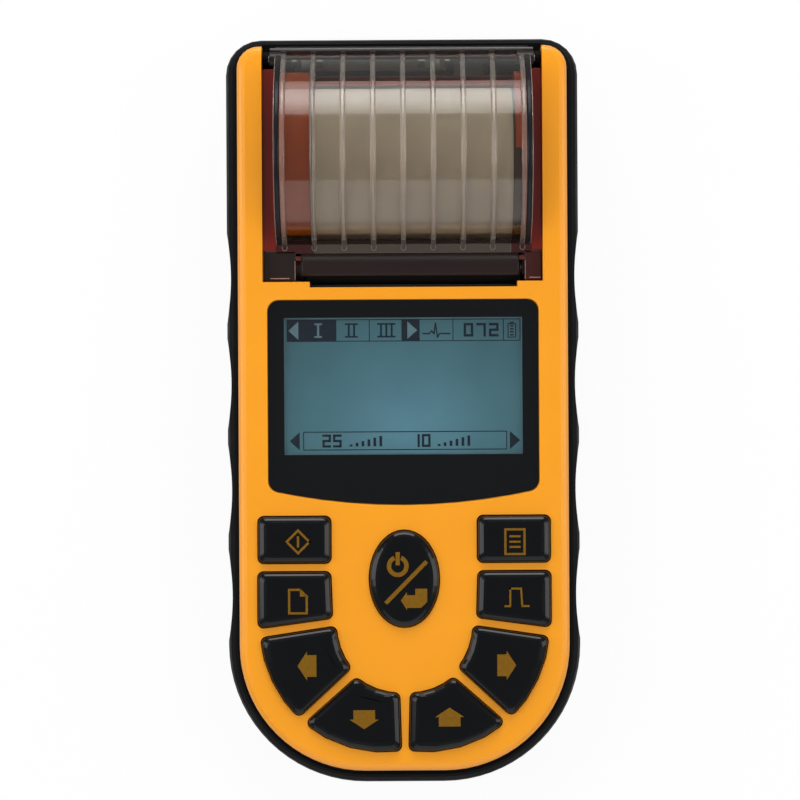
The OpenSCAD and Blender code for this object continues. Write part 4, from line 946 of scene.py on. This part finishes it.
def top_bar():
    """The bar of cells: leads one to three, an arrow, a short trace, a plain number and the battery."""
    y = BAR_MIDDLE
    shapes = frame_of(BAR_X[0], BAR_LOW, BAR_X[1], BAR_TOP)
    shapes += rect(BAR_X[0], BAR_LOW, LEAD_LINES[0], BAR_TOP)
    shapes += rect(LEAD_LINES[2], BAR_LOW, ARROW_END, BAR_TOP)
    for x in (LEAD_LINES[1], TRACE_END, NUMBER_END):
        shapes += stroke((x, BAR_LOW), (x, BAR_TOP), HAIRLINE)
    shapes += roman(2, -13.0, y - 1.6) + roman(3, -4.2, y - 1.6)
    trace = [(5.0, y - 0.9), (6.6, y - 0.9), (7.2, y - 0.2), (7.8, y - 0.9),
             (8.2, y + 1.7), (8.7, y - 1.8), (9.2, y - 0.9), (11.8, y - 0.9)]
    shapes += band(trace, 0.34) + figures("072", 15.6, y - 1.4, 1.8, 2.8, 0.62, 3.2)
    return shapes + battery_sign(26.5, 28.4, y)


def foot_line():
    """The lowest line: an arrow at each end, and a box with two plain numbers and their bars."""
    y = FOOT_MIDDLE
    shapes = triangle(-28.7, -26.2, y, 2.3) + triangle(29.4, 26.8, y, 2.3)
    shapes += frame_of(-25.2, FOOT_LOW + 0.1, 26.0, FOOT_TOP - 0.1, 0.25)
    shapes += figures("25", -20.2, y - 1.35) + figures("10", 2.2, y - 1.35)
    return shapes + level_bars(-13.6, y) + level_bars(8.6, y)


def screen_light():
    """What shows pale inside the dark cells, and the thin pale line round the picture."""
    shapes = triangle(-28.9, -26.4, BAR_MIDDLE, 2.3) + roman(1, -21.4, BAR_MIDDLE - 1.6)
    shapes += triangle(3.6, 1.1, BAR_MIDDLE, 2.2)
    side = SCREEN_HALF - 0.18
    return shapes + frame_of(-side, SCREEN_BOTTOM + 0.18, side, SCREEN_TOP - 0.18, 0.16)


def on_screen(lift):
    """A height function that lies lift above the screen."""
    return lambda x, y: LCD_HIGH.z + lift


INK_T = 0.01
PALE_LIFT = 0.012       # the pale shapes lie on top of the dark cells
screen_ink = print_on("screen_dark", top_bar() + foot_line(), on_screen(0.0), INK_T, look("screen_ink"))
screen_pale = print_on("screen_light", screen_light(), on_screen(PALE_LIFT), INK_T, look("screen_pale"))
for piece in (screen_ink, screen_pale):
    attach(piece, "case")


# ---- Stage ----------------------------------------------------------------------------------

FLOOR_HALF = 3.0        # metres
FLOOR_Z = -0.0002       # metres, just under the feet
SEEN_SHARE = 0.93       # how far the camera sees plain white in place of the lit floor
GLOSSY_LEVEL = 0.4      # brightness of the floor in reflections


def white_floor():
    """A pale floor: nearly white to the camera, with the object's shadow on it, and dim in reflections."""
    n = Nodes("floor")
    n.colour(n.noise(40, 2), (0.9, 0.9, 0.9), 0.01)
    n.set(Roughness=0.7)
    path = n.add("ShaderNodeLightPath")
    seen = n.add("ShaderNodeMath", operation="MAXIMUM")
    n.link(path.outputs["Is Camera Ray"], seen.inputs[0])
    n.link(path.outputs["Is Transmission Ray"], seen.inputs[1])
    share = n.add("ShaderNodeMath", operation="MULTIPLY")
    share.inputs[1].default_value = SEEN_SHARE
    n.link(seen.outputs[0], share.inputs[0])
    lit = n.shader.outputs["BSDF"]
    for fac, level in ((share.outputs[0], 1.0), (path.outputs["Is Glossy Ray"], GLOSSY_LEVEL)):
        glow = n.add("ShaderNodeEmission")
        glow.inputs["Color"].default_value = (level, level, level, 1)
        mix = n.add("ShaderNodeMixShader")
        n.link(fac, mix.inputs["Fac"])
        n.link(lit, mix.inputs[1])
        n.link(glow.outputs["Emission"], mix.inputs[2])
        lit = mix.outputs["Shader"]
    n.link(lit, n.output.inputs["Surface"])
    return n.material


def add_floor():
    """A plain floor under the object, wide enough to fill every view."""
    mesh = bpy.data.meshes.new("floor")
    bm = bmesh.new()
    bmesh.ops.create_grid(bm, x_segments=4, y_segments=4, size=FLOOR_HALF)
    bm.to_mesh(mesh)
    bm.free()
    floor = add_object("floor", mesh)
    floor.location.z = FLOOR_Z
    mesh.materials.append(white_floor())


def add_lamp(name, place, size, watts, aim=(0, 0, 0)):
    """A rectangular soft lamp at place that shines at the point aim, with lengths in metres."""
    light = bpy.data.lights.new(name, "AREA")
    light.shape = "RECTANGLE"
    light.size, light.size_y = size
    light.energy = watts
    lamp = add_object(name, light)
    lamp.location = place
    lamp.rotation_euler = (Vector(aim) - Vector(place)).to_track_quat("-Z", "Y").to_euler()


def light_world():
    """A faint cool light from all round, with plain white where the camera sees past the floor."""
    world = bpy.data.worlds.new("studio")
    bpy.context.scene.world = world
    world.use_nodes = True
    tree = world.node_tree
    surround = tree.nodes["Background"]
    surround.inputs["Color"].default_value = (0.9, 0.95, 1.0, 1)
    surround.inputs["Strength"].default_value = 0.29
    white = tree.nodes.new("ShaderNodeBackground")
    white.inputs["Strength"].default_value = 1.0
    path = tree.nodes.new("ShaderNodeLightPath")
    mix = tree.nodes.new("ShaderNodeMixShader")
    tree.links.new(path.outputs["Is Camera Ray"], mix.inputs["Fac"])
    tree.links.new(surround.outputs["Background"], mix.inputs[1])
    tree.links.new(white.outputs["Background"], mix.inputs[2])
    tree.links.new(mix.outputs["Shader"], tree.nodes["World Output"].inputs["Surface"])


add_floor()
light_world()
add_lamp("lamp_head_wall", (0.0, 0.66, 0.44), (0.6, 0.64), 3.0, (0, 0, 0.44))
# Three strips one behind the other, so that the light on the dome fades upwards in steps.
STRIP_FOOT = 0.24
STRIP_WATTS = 2.1       # for each metre of height
for i, top in enumerate((0.46, 0.53, 0.62)):
    tall = top - STRIP_FOOT
    middle = (top + STRIP_FOOT) / 2
    add_lamp(f"lamp_head_strip_{i}", (0, 0.65 - 0.005 * i, middle), (0.6, tall), STRIP_WATTS * tall,
             (0, 0, middle))
add_lamp("lamp_left", (-0.62, 0.05, 0.5), (0.35, 0.7), 2.6)
add_lamp("lamp_right", (0.62, 0.0, 0.5), (0.35, 0.7), 2.2)
add_lamp("lamp_foot_end", (0.0, -0.83, 0.5), (1.3, 1.0), 3.5)
